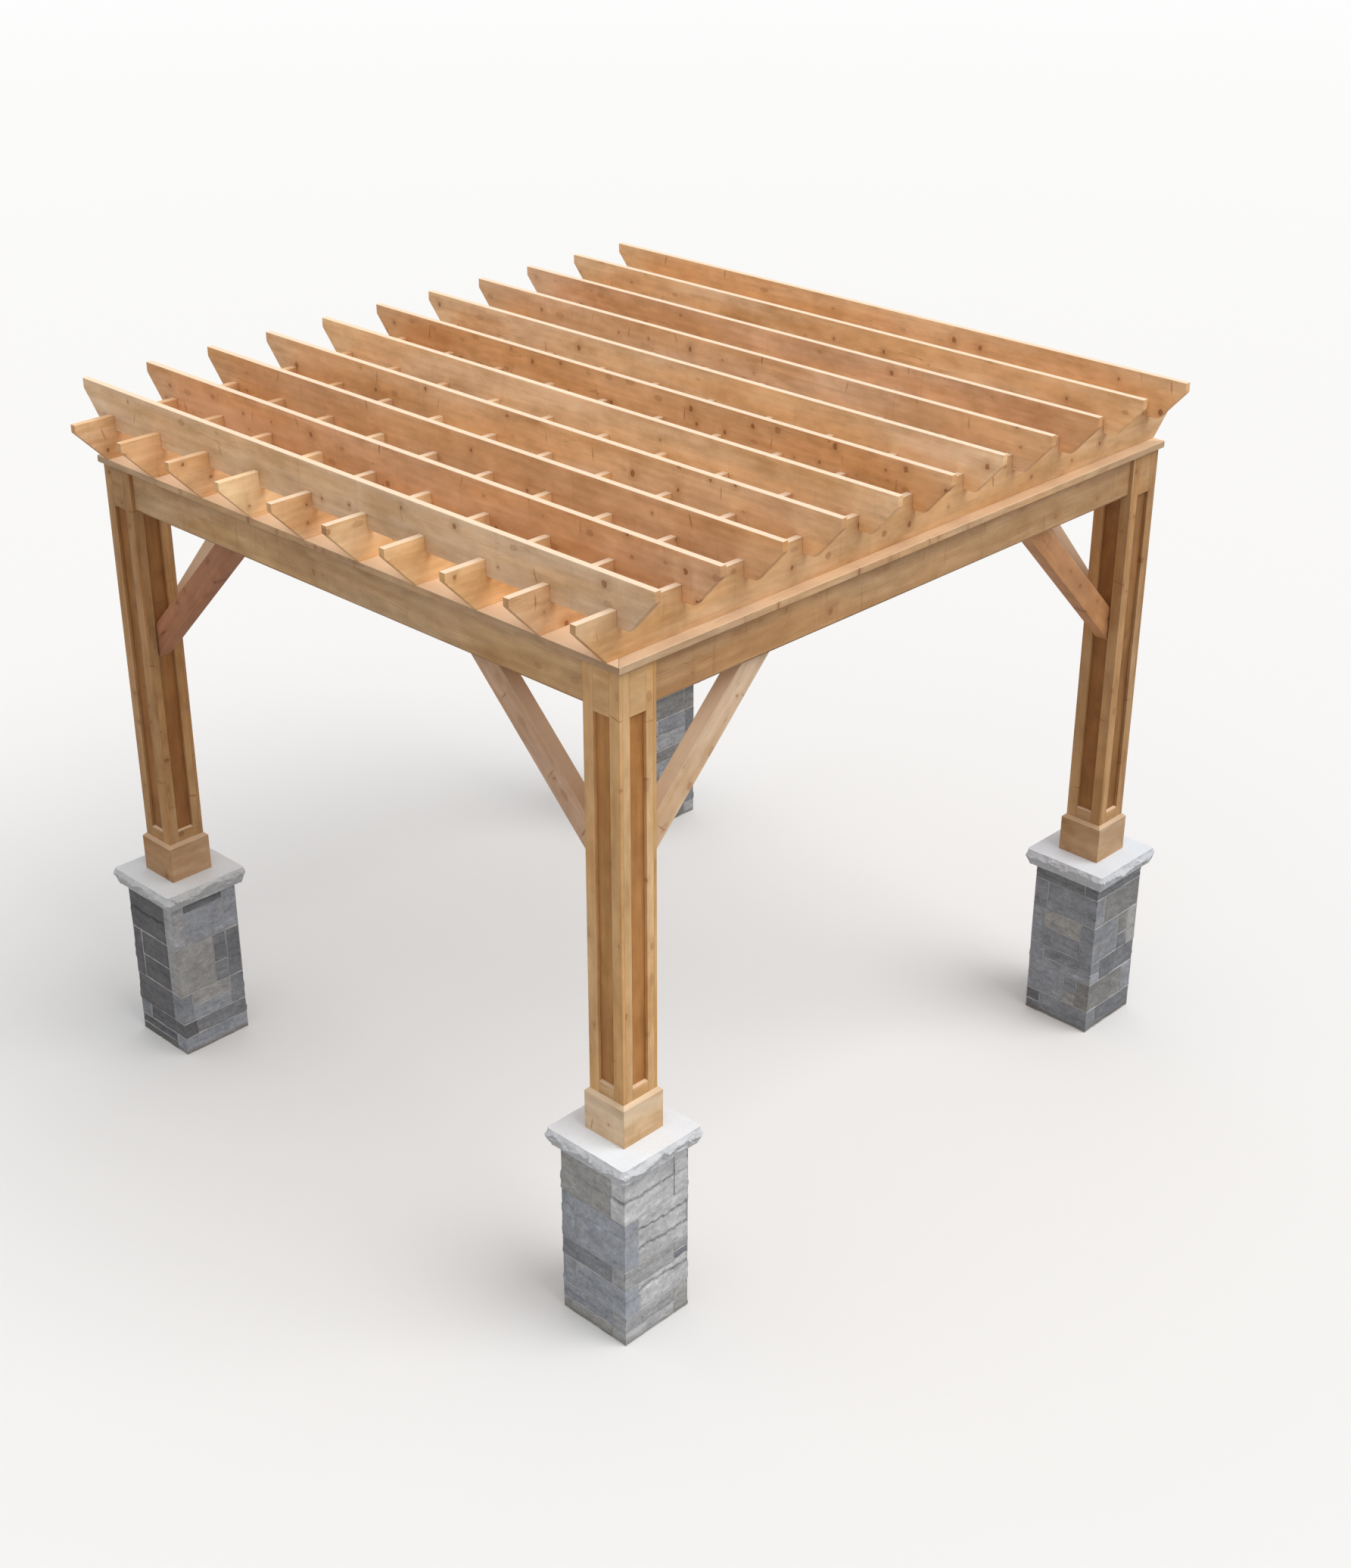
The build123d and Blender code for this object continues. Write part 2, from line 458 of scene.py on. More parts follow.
def wire_weather(g: Graph, source: Wires) -> Wires:
    """Outdoor ageing: pale sawn tops, worn upper arrises, dull end grain and a few rain marks.

    Args:
        g: The group's graph.
        source: The group's inputs.

    Returns:
        The group's results by name.
    """
    place, bleached = g.place(), source["Bleached"]
    end, arris, top_paling = g.split(source["Zone"])
    facing = g.split(g.take("NewGeometry", None, "True Normal"))[2]
    blotch = g.noise(place, (9.0, 9.0, 9.0), 3.0, 0.6)
    top = g.ease(facing, 0.35, 0.85) * source["Sun"] * top_paling * (0.90 + blotch * 0.2)
    colour = g.mix(g.clamp(top), source["Color"], bleached)
    colour = g.mix(arris * g.ease(facing, 0.05, 0.5) * 0.4, colour, bleached)
    colour = g.mix(end * (0.7 + blotch * 0.5), colour, colour * (0.84, 0.74, 0.64))
    run = g.noise(place, (22.0, 22.0, 2.2), 2.0, 0.6)
    stain = g.ease(run, 0.60, 0.78) * source["Stain"] * g.ease(facing, 0.6, 0.2)
    return {"Color": g.mix(stain, colour, colour * 0.55)}


def wire_mineral(g: Graph, source: Wires) -> Wires:
    """Mineral grains and pits, shared by the stones, the caps and the mortar.

    Args:
        g: The group's graph.
        source: The group's inputs.

    Returns:
        The group's results by name.
    """
    place, amount = source["Place"], source["Amount"]
    grains = g.swing(1.0, place, (300.0, 300.0, 300.0), 2.0, 0.7)
    lumps = g.swing(1.0, place, (55.0, 55.0, 55.0), 3.0, 0.6)
    cells = g.take("TexVoronoi", {"Vector": place, "Scale": 210.0}, voronoi_dimensions="3D", feature="F1")
    pit = g.ease(cells, 0.32, 0.12)
    return {
        "Shade": 1.0 + (grains + lumps) * amount + pit * amount * -0.2,
        "Height": grains * 0.35 + lumps * 0.9 + pit * -0.5,
    }


GRAIN = Effect(
    "sawn_grain",
    {
        "Grain": (), "Early": (0.6, 0.4, 0.2), "Late": (0.4, 0.2, 0.1), "Knot": (0.1, 0.04, 0.02),
        "Ring": 0.006, "Knots": 0.4, "Checks": 0.5, "Figure": 0.5,
    },
    {"Color": "Color", "Roughness": "Float", "Height": "Float"},
    wire_grain,
)
WEATHER = Effect(
    "outdoor_ageing",
    {"Color": (0.5, 0.4, 0.3), "Bleached": (0.9, 0.8, 0.6), "Zone": (), "Sun": 0.5, "Stain": 0.3},
    {"Color": "Color"},
    wire_weather,
)
MINERAL = Effect(
    "mineral_grains", {"Place": (), "Amount": 0.5}, {"Shade": "Float", "Height": "Float"}, wire_mineral
)


@dataclass(frozen=True)
class Finish:
    """The surface of one kind of part; each kind has its own colour, roughness and height."""

    name: str
    gloss: ClassVar[float] = 0.35
    bump: ClassVar[float] = 0.6
    relief: ClassVar[float] = 0.002

    def dress(self) -> Material:
        """Make the material.

        Returns:
            The finished material.
        """
        material = bpy.data.materials.new(self.name)
        material.use_nodes = True
        g = Graph(material.node_tree)
        colour, roughness, height = self.paint(g)
        normal = g.take("Bump", {"Strength": self.bump, "Distance": self.relief, "Height": height})
        shader = g.take("BsdfPrincipled", {
            "Specular IOR Level": self.gloss, "Base Color": colour, "Roughness": roughness, "Normal": normal,
        })
        g.node("OutputMaterial", {"Surface": shader})
        return material

    def paint(self, g: Graph) -> tuple[Wire, Wire, Wire]:
        """Wire the colour, the roughness and the height in the material's graph."""
        raise NotImplementedError


@dataclass(frozen=True)
class WoodFinish(Finish):
    """Unpainted softwood as it looks on one kind of board."""

    early: Colour
    late: Colour
    knot: Colour = (0.380, 0.155, 0.058)
    bleached: Colour = (0.80, 0.60, 0.42)
    ring: float = 0.0075
    figure: float = 0.5
    knots: float = 0.34
    checks: float = 0.4
    sun: float = 0.9
    stain: float = 0.15
    gloss: ClassVar[float] = 0.3
    relief: ClassVar[float] = 0.0008

    def paint(self, g: Graph) -> tuple[Wire, Wire, Wire]:
        """Wire sawn grain, aged outdoors.

        Args:
            g: The material's graph.

        Returns:
            The colour, the roughness and the height.
        """
        grain = GRAIN.apply(g, {
            "Grain": g.attribute("grain"), "Early": self.early, "Late": self.late, "Knot": self.knot,
            "Ring": self.ring, "Knots": g.attribute("tint", "Alpha") * self.knots, "Checks": self.checks,
            "Figure": self.figure,
        })
        aged = WEATHER.apply(g, {
            "Color": grain["Color"] * g.attribute("tint", "Color"), "Bleached": self.bleached,
            "Zone": g.attribute("zone"), "Sun": self.sun, "Stain": self.stain,
        })
        return aged["Color"], grain["Roughness"], grain["Height"]


@dataclass(frozen=True)
class StoneFinish(Finish):
    """Split grey stone with slanting beds, pale mineral films and a little rust."""

    name: str = "split_stone"
    rust: Colour = (0.30, 0.25, 0.19)
    soil: Colour = (0.20, 0.165, 0.115)
    bump: ClassVar[float] = 0.75
    relief: ClassVar[float] = 0.005

    def paint(self, g: Graph) -> tuple[Wire, Wire, Wire]:
        """Wire beds, blotches, films, rust, painted shade in the clefts and soil near the ground.

        Args:
            g: The material's graph.

        Returns:
            The colour, the roughness and the height.
        """
        place = g.attribute("grain")
        cleft = 1.0 - g.attribute("tint", "Alpha")
        mineral = MINERAL.apply(g, {"Place": place, "Amount": 0.60})
        beds = g.swing(1.0, place, (7.0, 7.0, 19.0), 5.0, 0.66)
        cloud = g.swing(1.0, place, (6.0, 6.0, 8.0), 3.0, 0.55)
        blotch = g.swing(1.0, place, (24.0, 24.0, 34.0), 4.0, 0.65)
        pale = g.ease(g.noise(place, (12.0, 12.0, 25.0), 5.0, 0.68), 0.52, 0.66)
        rusty = g.ease(g.noise(place + (3.0, 9.0, 5.0), (5.0, 5.0, 11.0), 3.0), 0.56, 0.76)
        level = g.split(g.place())[2]
        muddy = g.ease(level + blotch * -0.05, 0.045, 0.006)
        colour = g.attribute("tint", "Color") * (0.96 + beds * 0.55 + cloud * 0.70 + blotch * 0.75)
        colour = g.mix(pale * 0.34, colour, colour * 1.55)
        colour = g.mix(rusty * 0.30, colour, self.rust)
        colour = g.mix(muddy * 0.55, colour, self.soil)
        # Clefts are darkened here: painted shade in the creases
        colour = colour * (mineral["Shade"] * (1.0 + cleft * -0.70))
        return colour, 0.82 + cloud * 0.3, beds * 0.7 + blotch * 0.6 + mineral["Height"] * 0.35


@dataclass(frozen=True)
class CapFinish(Finish):
    """Pale limestone, smooth on top and rock-faced round its edge."""

    name: str = "pale_limestone"
    # The face colour is pale stone with a blue cast of painted sky light
    face: Colour = (0.80, 0.84, 0.89)
    edge: Colour = (0.68, 0.70, 0.73)
    vein: Colour = (0.40, 0.41, 0.43)
    relief: ClassVar[float] = 0.0025

    def paint(self, g: Graph) -> tuple[Wire, Wire, Wire]:
        """Wire the even top, and veins, chips and painted shade on the underside of the edge.

        Args:
            g: The material's graph.

        Returns:
            The colour, the roughness and the height.
        """
        place = g.place()
        side, _, _ = g.split(g.attribute("zone"))
        facing = g.split(g.take("NewGeometry", None, "Normal"))[2]
        mineral = MINERAL.apply(g, {"Place": place, "Amount": 0.14})
        cloud = g.swing(1.0, place, (6.0, 6.0, 6.0), 3.0, 0.55)
        beds = g.noise(place, (9.0, 9.0, 40.0), 4.0, 0.6)
        chips = g.swing(1.6, place, (38.0, 38.0, 60.0), 4.0, 0.65)
        colour = g.mix(side, self.face, self.edge) * g.attribute("tint", "Color")
        colour = g.mix(g.ease(beds, 0.46, 0.72) * side * 0.42, colour, self.vein)
        # Downward faces of the edge are darkened towards the vein grey: painted shade under the overhang
        colour = g.mix(side * g.ease(facing, 0.15, -0.30) * 0.50, colour, self.vein)
        colour = colour * (mineral["Shade"] * (1.0 + cloud * 0.12))
        height = (beds + chips) * side + mineral["Height"] * (0.12 + side * 0.4)
        return colour, 0.72 + cloud * 0.2, height


@dataclass(frozen=True)
class MortarFinish(Finish):
    """Grey mortar of the joints."""

    name: str = "joint_mortar"
    colour: Colour = (0.44, 0.44, 0.44)
    gloss: ClassVar[float] = 0.3
    bump: ClassVar[float] = 0.7

    def paint(self, g: Graph) -> tuple[Wire, Wire, Wire]:
        """Wire sandy grains with soft clouds.

        Args:
            g: The material's graph.

        Returns:
            The colour, the roughness and the height.
        """
        place = g.place()
        mineral = MINERAL.apply(g, {"Place": place, "Amount": 0.5})
        cloud = g.swing(1.0, place, (7.0, 7.0, 7.0), 3.0)
        colour = mineral["Shade"] * (1.0 + cloud * 0.6) * self.colour
        return colour, 0.86 + cloud * 0.2, mineral["Height"]


# Meshes


class Blank:
    """A part in the making: a bmesh whose points and faces carry what the finishes read."""

    def __init__(self) -> None:
        """Start with nothing but the layers; a new layer unsettles those fetched before it."""
        self.bm = bmesh.new()
        points, faces = self.bm.verts.layers, self.bm.faces.layers
        points.float_vector.new("grain")
        points.float_color.new("tint")
        faces.float_vector.new("zone")
        self.grain = points.float_vector["grain"]
        self.tint = points.float_color["tint"]
        self.zone = faces.float_vector["zone"]

    def block(self, low: Vector, high: Vector) -> None:
        """Start from a block between two corners."""
        place = Matrix.Translation((low + high) / 2) @ Matrix.Diagonal((*(high - low), 1.0))
        bmesh.ops.create_cube(self.bm, size=1.0, matrix=place)

    def saw(self, at: Triple, facing: Triple) -> None:
        """Saw the part along a plane and close the cut.

        Args:
            at: A point of the plane.
            facing: The plane's direction, on whose side the offcut falls away.
        """
        geometry = [*self.bm.verts, *self.bm.edges, *self.bm.faces]
        cut = bmesh.ops.bisect_plane(
            self.bm, geom=geometry, dist=TINY, plane_co=at, plane_no=facing, clear_outer=True
        )
        rim = [part for part in cut["geom_cut"] if isinstance(part, bmesh.types.BMEdge)]
        bmesh.ops.edgeloop_fill(self.bm, edges=rim)

    def divide(self, steps: Triple) -> None:
        """Divide a block into cells of about one size.

        Args:
            steps: The cell's size along X, Y and Z.
        """
        for axis, step in enumerate(steps):
            ways = []
            for edge in self.bm.edges:
                span = edge.verts[1].co - edge.verts[0].co
                if abs(span[axis]) > STRAIGHT * span.length:
                    ways.append(edge)
            cuts = max(1, round(ways[0].calc_length() / step)) - 1
            if cuts:
                bmesh.ops.subdivide_edges(self.bm, edges=ways, cuts=cuts, use_grid_fill=True)

    def facing(self, way: Triple) -> list[bmesh.types.BMFace]:
        """The faces that look one way."""
        return [face for face in self.bm.faces if face.normal.dot(Vector(way)) > STRAIGHT]

    def plain(self, way: Triple, within: float = math.inf) -> None:
        """Make one face of cells that look one way, where nobody looks closely.

        Args:
            way: Where the cells look.
            within: How far from the middle, along X and Y, they are joined.
        """
        middles = [(cell, cell.calc_center_median()) for cell in self.facing(way)]
        cells = [cell for cell, at in middles if max(abs(at.x), abs(at.y)) <= within]
        if len(cells) > 1:
            bmesh.ops.dissolve_faces(self.bm, faces=cells)


class Piece:
    """One piece of the scene, joined from its parts."""

    def __init__(self, name: str) -> None:
        """Start without parts."""
        self.name = name
        self.bm = bmesh.new()

    def take(self, part: Blank, place: Matrix) -> None:
        """Add a finished part.

        Args:
            part: The part, which is used up.
            place: Where it goes.
        """
        part.bm.transform(place)
        mesh = bpy.data.meshes.new("part")
        part.bm.to_mesh(mesh)
        part.bm.free()
        self.bm.from_mesh(mesh)
        bpy.data.meshes.remove(mesh)

    def deliver(self, node: str, slot: str, material: Material, smooth: float = 0.0) -> None:
        """Make the object, which rides on the root and stands for a CAD node.

        Args:
            node: The CAD node that it stands for.
            slot: The record's material slot; not used.
            material: Its material.
            smooth: The angle in degrees up to which its edges are shaded smooth.
        """
        mesh = bpy.data.meshes.new(self.name)
        self.bm.to_mesh(mesh)
        self.bm.free()
        mesh.materials.append(material)
        if smooth:
            mesh.shade_smooth()
            mesh.set_sharp_from_angle(angle=math.radians(smooth))
        piece = show(mesh)
        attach(piece, "root")
        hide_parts(node)
        log.info("%s stands for %s, with %d faces", self.name, node, len(mesh.polygons))


def show(data: bpy.types.ID) -> bpy.types.Object:
    """Put a mesh, a lamp or a camera in the scene.

    Args:
        data: The mesh, lamp or camera.

    Returns:
        Its object, of the same name, at the origin.
    """
    made = bpy.data.objects.new(data.name, data)
    bpy.context.scene.collection.objects.link(made)
    return made


def laid(along: Vector, across: Vector, at: Vector) -> Matrix:
    """Placement of a part that is modelled flat.

    Args:
        along: Where its local X goes.
        across: Where its local Y goes.
        at: Where its local origin goes.

    Returns:
        The placement; local Z goes along cross across.
    """
    turned = Matrix((along, across, along.cross(across))).transposed()
    return Matrix.Translation(at) @ turned.to_4x4()


def rectangle(left: float, right: float, low: float, high: float) -> Outline:
    """Outline of a straight board, anticlockwise."""
    return [(left, low), (right, low), (right, high), (left, high)]


@dataclass
class Board:
    """One sawn board: an outline in its wide face, given its thickness below that face."""

    mark: str
    outline: Outline
    thickness: float
    tone: Tone
    knots: float = 1.0
    run: tuple[float, float] = (1.0, 0.0)
    top_paling: float = 1.0
    arris: float = 0.0022
    saws: Sequence[tuple[Triple, Triple]] = ()
    vary: float = 0.06
    sharp: ClassVar[float] = math.radians(20.0)
    log_length: ClassVar[float] = 60.0
    aside: ClassVar[float] = 0.09
    pith_depth: ClassVar[tuple[float, float]] = (0.03, 0.12)
    warmth: ClassVar[float] = 0.4
    end_grain: ClassVar[float] = 0.6

    def cut(self, piece: Piece, place: Matrix) -> None:
        """Shape the board, ease its arrises, write what its finish reads and lay it in its place.

        Args:
            piece: The piece that the board belongs to.
            place: Where it goes.
        """
        blank = Blank()
        bm = blank.bm
        corners = [bm.verts.new((x, y, -self.thickness)) for x, y in self.outline]
        grown = bmesh.ops.extrude_face_region(bm, geom=[bm.faces.new(corners)])
        lifted = [part for part in grown["geom"] if isinstance(part, bmesh.types.BMVert)]
        bmesh.ops.translate(bm, verts=lifted, vec=UP * self.thickness)
        for at, facing in self.saws:
            blank.saw(at, facing)
        bmesh.ops.recalc_face_normals(bm, faces=bm.faces)
        outer = [
            edge for edge in bm.edges if edge.is_manifold and edge.calc_face_angle_signed() > self.sharp
        ]
        eased = bmesh.ops.bevel(
            bm, geom=outer, offset=self.arris, offset_type="OFFSET", affect="EDGES", segments=2, profile=0.5,
            material=-1, clamp_overlap=True,
        )
        self._write(blank, set(eased["faces"]))
        piece.take(blank, place)

    def _write(self, blank: Blank, arrises: set[bmesh.types.BMFace]) -> None:
        """Write the board's grain, tint and zones.

        Args:
            blank: The board's mesh.
            arrises: The faces of the eased edges.
        """
        draw = random.Random(self.mark)
        pith = draw.choice((-1, 1)) * draw.uniform(*self.pith_depth)
        start = Vector((draw.uniform(0.0, self.log_length), draw.uniform(-self.aside, self.aside), pith))
        run = Vector(self.run)
        bright = 1.0 + draw.uniform(-self.vary, self.vary)
        warm = draw.uniform(-self.warmth, self.warmth) * self.vary
        tint = [part * bright * (1.0 + shift) for part, shift in zip(self.tone.value, (warm, 0.0, -warm))]
        for vert in blank.bm.verts:
            flat = vert.co.xy
            vert[blank.grain] = start + Vector((flat.dot(run), run.cross(flat), vert.co.z))
            vert[blank.tint] = (*tint, self.knots)
        for face in blank.bm.faces:
            on_end = abs(face.normal.xy.dot(run)) > self.end_grain
            face[blank.zone] = (float(on_end), float(face in arrises), self.top_paling)


# Piers and caps


class Bond(Enum):
    """The stones on one side of a course: left, right, bottom and top shares, then any clefts' heights."""

    WHOLE = ((0.0, 1.0, 0.0, 1.0),)
    CLEFT = ((0.0, 1.0, 0.0, 1.0, 0.48),)
    LEDGES = ((0.0, 1.0, 0.0, 1.0, 0.34, 0.70),)
    SHELF = ((0.0, 1.0, 0.0, 1.0, 0.70),)
    STACK = ((0.0, 1.0, 0.0, 0.45), (0.0, 1.0, 0.45, 1.0))
    THIN_TOP = ((0.0, 1.0, 0.0, 0.72), (0.0, 1.0, 0.72, 1.0))
    JAMB_THIN_TOP = ((0.0, 0.23, 0.0, 1.0), (0.23, 1.0, 0.0, 0.76), (0.23, 1.0, 0.76, 1.0))
    JAMB_STACK = ((0.0, 0.24, 0.0, 1.0), (0.24, 1.0, 0.0, 0.5), (0.24, 1.0, 0.5, 1.0))
    BLOCK_STACK = ((0.0, 0.74, 0.0, 1.0), (0.74, 1.0, 0.0, 0.42), (0.74, 1.0, 0.42, 1.0))


@dataclass(frozen=True)
class Course:
    """One course: its height's share, which way its stones turn the corners, and its best sides."""

    share: float
    turn: int
    front: Bond
    front_tones: Sequence[StoneTone]
    left: Bond
    left_tones: Sequence[StoneTone]

    def side(self, side: Side, draw: random.Random) -> tuple[Bond, Sequence[StoneTone]]:
        """The bond and the stones' tones on one side.

        Args:
            side: The side.
            draw: Where the two other sides come from.

        Returns:
            The bond, and a tone for each of its stones.
        """
        if side is Side.FRONT:
            return self.front, self.front_tones
        if side is Side.LEFT:
            return self.left, self.left_tones
        bond = draw.choice((Bond.WHOLE, Bond.STACK, Bond.JAMB_STACK, Bond.BLOCK_STACK))
        return bond, draw.choices((*self.front_tones, *self.left_tones), k=len(bond.value))


@dataclass
class SplitStone:
    """One stone of a pier: a block whose face, at its lowest Y, is split, stepped and cleft."""

    low: Vector
    high: Vector
    corners: Sequence[float]
    tone: StoneTone
    clefts: Sequence[float]
    draw: random.Random
    cell: float = 0.0075
    proud: float = 0.0004
    rough: float = 0.0060
    step: float = 0.0050
    step_width: float = 0.008
    groove: float = 0.0070
    groove_width: float = 0.011
    faint: float = 0.30
    wander: float = 0.020
    wear: float = 0.0035
    wear_width: float = 0.011
    jag: float = 0.0022
    deepest: float = 0.0120
    slant: float = 16.0
    lean_across: float = 0.012
    lean_up: float = 0.02
    hang: float = 0.002

    def __post_init__(self) -> None:
        """Draw how the stone's beds slant, how its face leans and at what heights it is broken."""
        draw = self.draw.uniform
        self.shift = Vector([draw(0.0, NOISE_ROOM) for _ in range(3)])
        self.beds = Matrix.Rotation(math.radians(draw(-self.slant, self.slant)), 3, "Y")
        across = draw(-self.lean_across, self.lean_across)
        self.lean = Vector((across, 0.0, draw(-self.lean_up, self.lean_up)))
        heights = self.clefts or [draw(0.3, 0.7)]
        self.levels = [self.low.z + (self.high.z - self.low.z) * height for height in heights]
        self.sharp = 1.0 if self.clefts else self.faint
        bright = draw(0.92, 1.08)
        self.tint = [part * bright for part in self.tone.value]

    def split(self) -> Blank:
        """Split the stone from its block.

        Returns:
            The stone.
        """
        blank = Blank()
        blank.block(self.low, self.high)
        blank.divide((self.cell, self.cell if self.corners else math.inf, self.cell))
        ends = [math.copysign(1.0, end) for end in self.corners]
        for way in [(0.0, 1.0, 0.0), (0.0, 0.0, 1.0), (0.0, 0.0, -1.0)]:
            blank.plain(way)
        for way in (-1.0, 1.0):
            if way not in ends:
                blank.plain((way, 0.0, 0.0))
        for vert in blank.bm.verts:
            at = self.beds @ vert.co + self.shift
            border = self._border(vert.co)
            pull, crease = self._broken(vert.co, at, border)
            vert[blank.grain] = at
            # The tint's alpha carries how deep in a cleft a point is, which the finish darkens as painted
            # shade
            vert[blank.tint] = (*self.tint, 1.0 - crease)
            shown = abs(vert.co.y - self.low.y) < TINY
            turned = [end for end in self.corners if abs(vert.co.x - end) < TINY]
            if shown:
                vert.co.y += pull
            for end in turned:
                vert.co.x -= math.copysign(pull, end)
            if (shown or turned) and border < TINY and self.low.z > 0.0:
                vert.co.z += self.jag * noise.fractal(at * 26.0, 0.8, 2.1, 2)
        bmesh.ops.recalc_face_normals(blank.bm, faces=blank.bm.faces)
        return blank

    def _border(self, co: Vector) -> float:
        """How far a point is from the nearest joint."""
        sides = [abs(co.x - end) for end in (self.low.x, self.high.x) if end not in self.corners]
        return min(co.z - self.low.z, self.high.z - co.z, *sides)

    def _broken(self, co: Vector, at: Vector, border: float) -> tuple[float, float]:
        """How the face is broken at one point.

        Args:
            co: The point of the block.
            at: Where it reads the noise.
            border: How far it is from the nearest joint.

        Returns:
            How far it lies back, and how deep in a cleft it is, from 0 to 1.
        """
        shelf, crease = 0.0, 0.0
        for number, level in enumerate(self.levels):
            line = noise.fractal(Vector((at.x * 4.5, at.y * 4.5, 9.0 * number)), 0.45, 2.4, 6)
            above = co.z - level - self.wander * line
            shelf = abs(min(1.0, max(0.0, 0.5 + above / self.step_width)) - shelf)
            crease = max(crease, self.sharp * (1.0 - abs(above) / self.groove_width))
        broad = noise.fractal(Vector((at.x * 10.0, at.y * 10.0, at.z * 16.0)), 0.75, 2.1, 5)
        worn = self.wear * max(0.0, 1.0 - border / self.wear_width) ** 2
        leaning = max(0.0, (co - (self.low + self.high) / 2).dot(self.lean) + self.hang)
        pull = self.proud + self.rough * min(1.0, max(0.0, 0.40 + 0.60 * broad)) + worn + leaning
        pull += shelf * self.step * (0.4 + 0.6 * self.sharp)
        return min(self.deepest, pull + crease * self.groove), crease


@dataclass
class StonePier:
    """A pier of random ashlar: courses of split stones in beds of mortar."""

    corner: str
    courses: Sequence[Course]
    stone: Material
    mortar: Material
    joint: float = 0.0065
    bed: float = 0.100
    mortar_face: float = 0.0050
    mortar_rim: float = 0.011
    mortar_uneven: tuple[float, float] = (-0.0006, 0.0010)
    mortar_cover: float = 0.0006
    mortar_lap: float = 0.0005

    def __post_init__(self) -> None:
        """Find the pier's place and start its two pieces."""
        self.node = f"{self.corner}_pier"
        self.box = Box(self.node)
        self.half = self.box.half(EAST)
        self.stones = Piece(f"{self.node}_stones")
        self.beds = Piece(f"{self.node}_mortar")

    def build(self) -> None:
        """Lay the stones of all the courses, and the mortar round them and behind."""
        height = self.box.high.z
        whole = sum(course.share for course in self.courses)
        top = height
        for number, course in enumerate(self.courses):
            low = top - height * course.share / whole
            for side in Side:
                self._run(number, side, max(0.0, low), top)
            top = low
        core = Blank()
        inner = self.half - self.bed
        core.block(Vector((-inner, -inner, 0.0)), Vector((inner, inner, height)))
        self.beds.take(core, Matrix.Translation(self.box.plan))
        self.stones.deliver(self.node, "veneer_stone", self.stone, smooth=32.0)
        self.beds.deliver(self.node, "veneer_stone", self.mortar)

    def _run(self, number: int, side: Side, low: float, high: float) -> None:
        """Lay one side of a course, from its corner to the end of the next side's first stone.

        Args:
            number: The course's number, from the top.
            side: The side.
            low: Its lower level.
            high: Its upper level.
        """
        course = self.courses[number]
        draw = random.Random(f"{self.corner} {number} {side.name}")
        place = laid(side.along, -side.outward, self.box.plan)
        bond, tones = course.side(side, draw)
        length = 2 * self.half - self.bed
        gap = self.joint / 2
        for (left, right, bottom, top, *clefts), tone in zip(bond.value, tones):
            ends = sorted(course.turn * (length * share - self.half) for share in (left, right))
            first = Vector((ends[0], -self.half, low + (high - low) * bottom))
            last = Vector((ends[1], self.bed - self.half, low + (high - low) * top))
            corners = [end for end in (first.x, last.x) if abs(end) > self.half - TINY]
            before = Vector((0.0 if first.x in corners else gap, 0.0, gap if first.z > 0.0 else 0.0))
            after = Vector((0.0 if last.x in corners else gap, 0.0, gap))
            stone = SplitStone(first + before, last - after, corners, tone, clefts, draw)
            self.stones.take(stone.split(), place)
            self.beds.take(self._bed(first, last, corners, draw.uniform(*self.mortar_uneven)), place)

    def _bed(self, first: Vector, last: Vector, corners: Sequence[float], uneven: float) -> Blank:
        """Make a tray of mortar round one stone, hollowed where the stone's face lies.

        Args:
            first: The lowest corner of the stone's share of the pier.
            last: The highest corner.
            corners: Those of its ends that are at a corner of the pier.
            uneven: How much farther back than others its face is.

        Returns:
            The tray.
        """
        blank = Blank()
        inset = self.mortar_face + uneven
        limit = self.half - inset
        low = Vector((max(first.x - self.mortar_lap, -limit), -limit, first.z))
        blank.block(low, Vector((min(last.x + self.mortar_lap, limit), last.y, last.z)))
        faces = blank.facing((0.0, -1.0, 0.0))
        for end in corners:
            faces += blank.facing((math.copysign(1.0, end), 0.0, 0.0))
        hollow = SplitStone.deepest + self.mortar_cover - inset
        bmesh.ops.inset_individual(blank.bm, faces=faces, thickness=self.mortar_rim, depth=-hollow)
        return blank


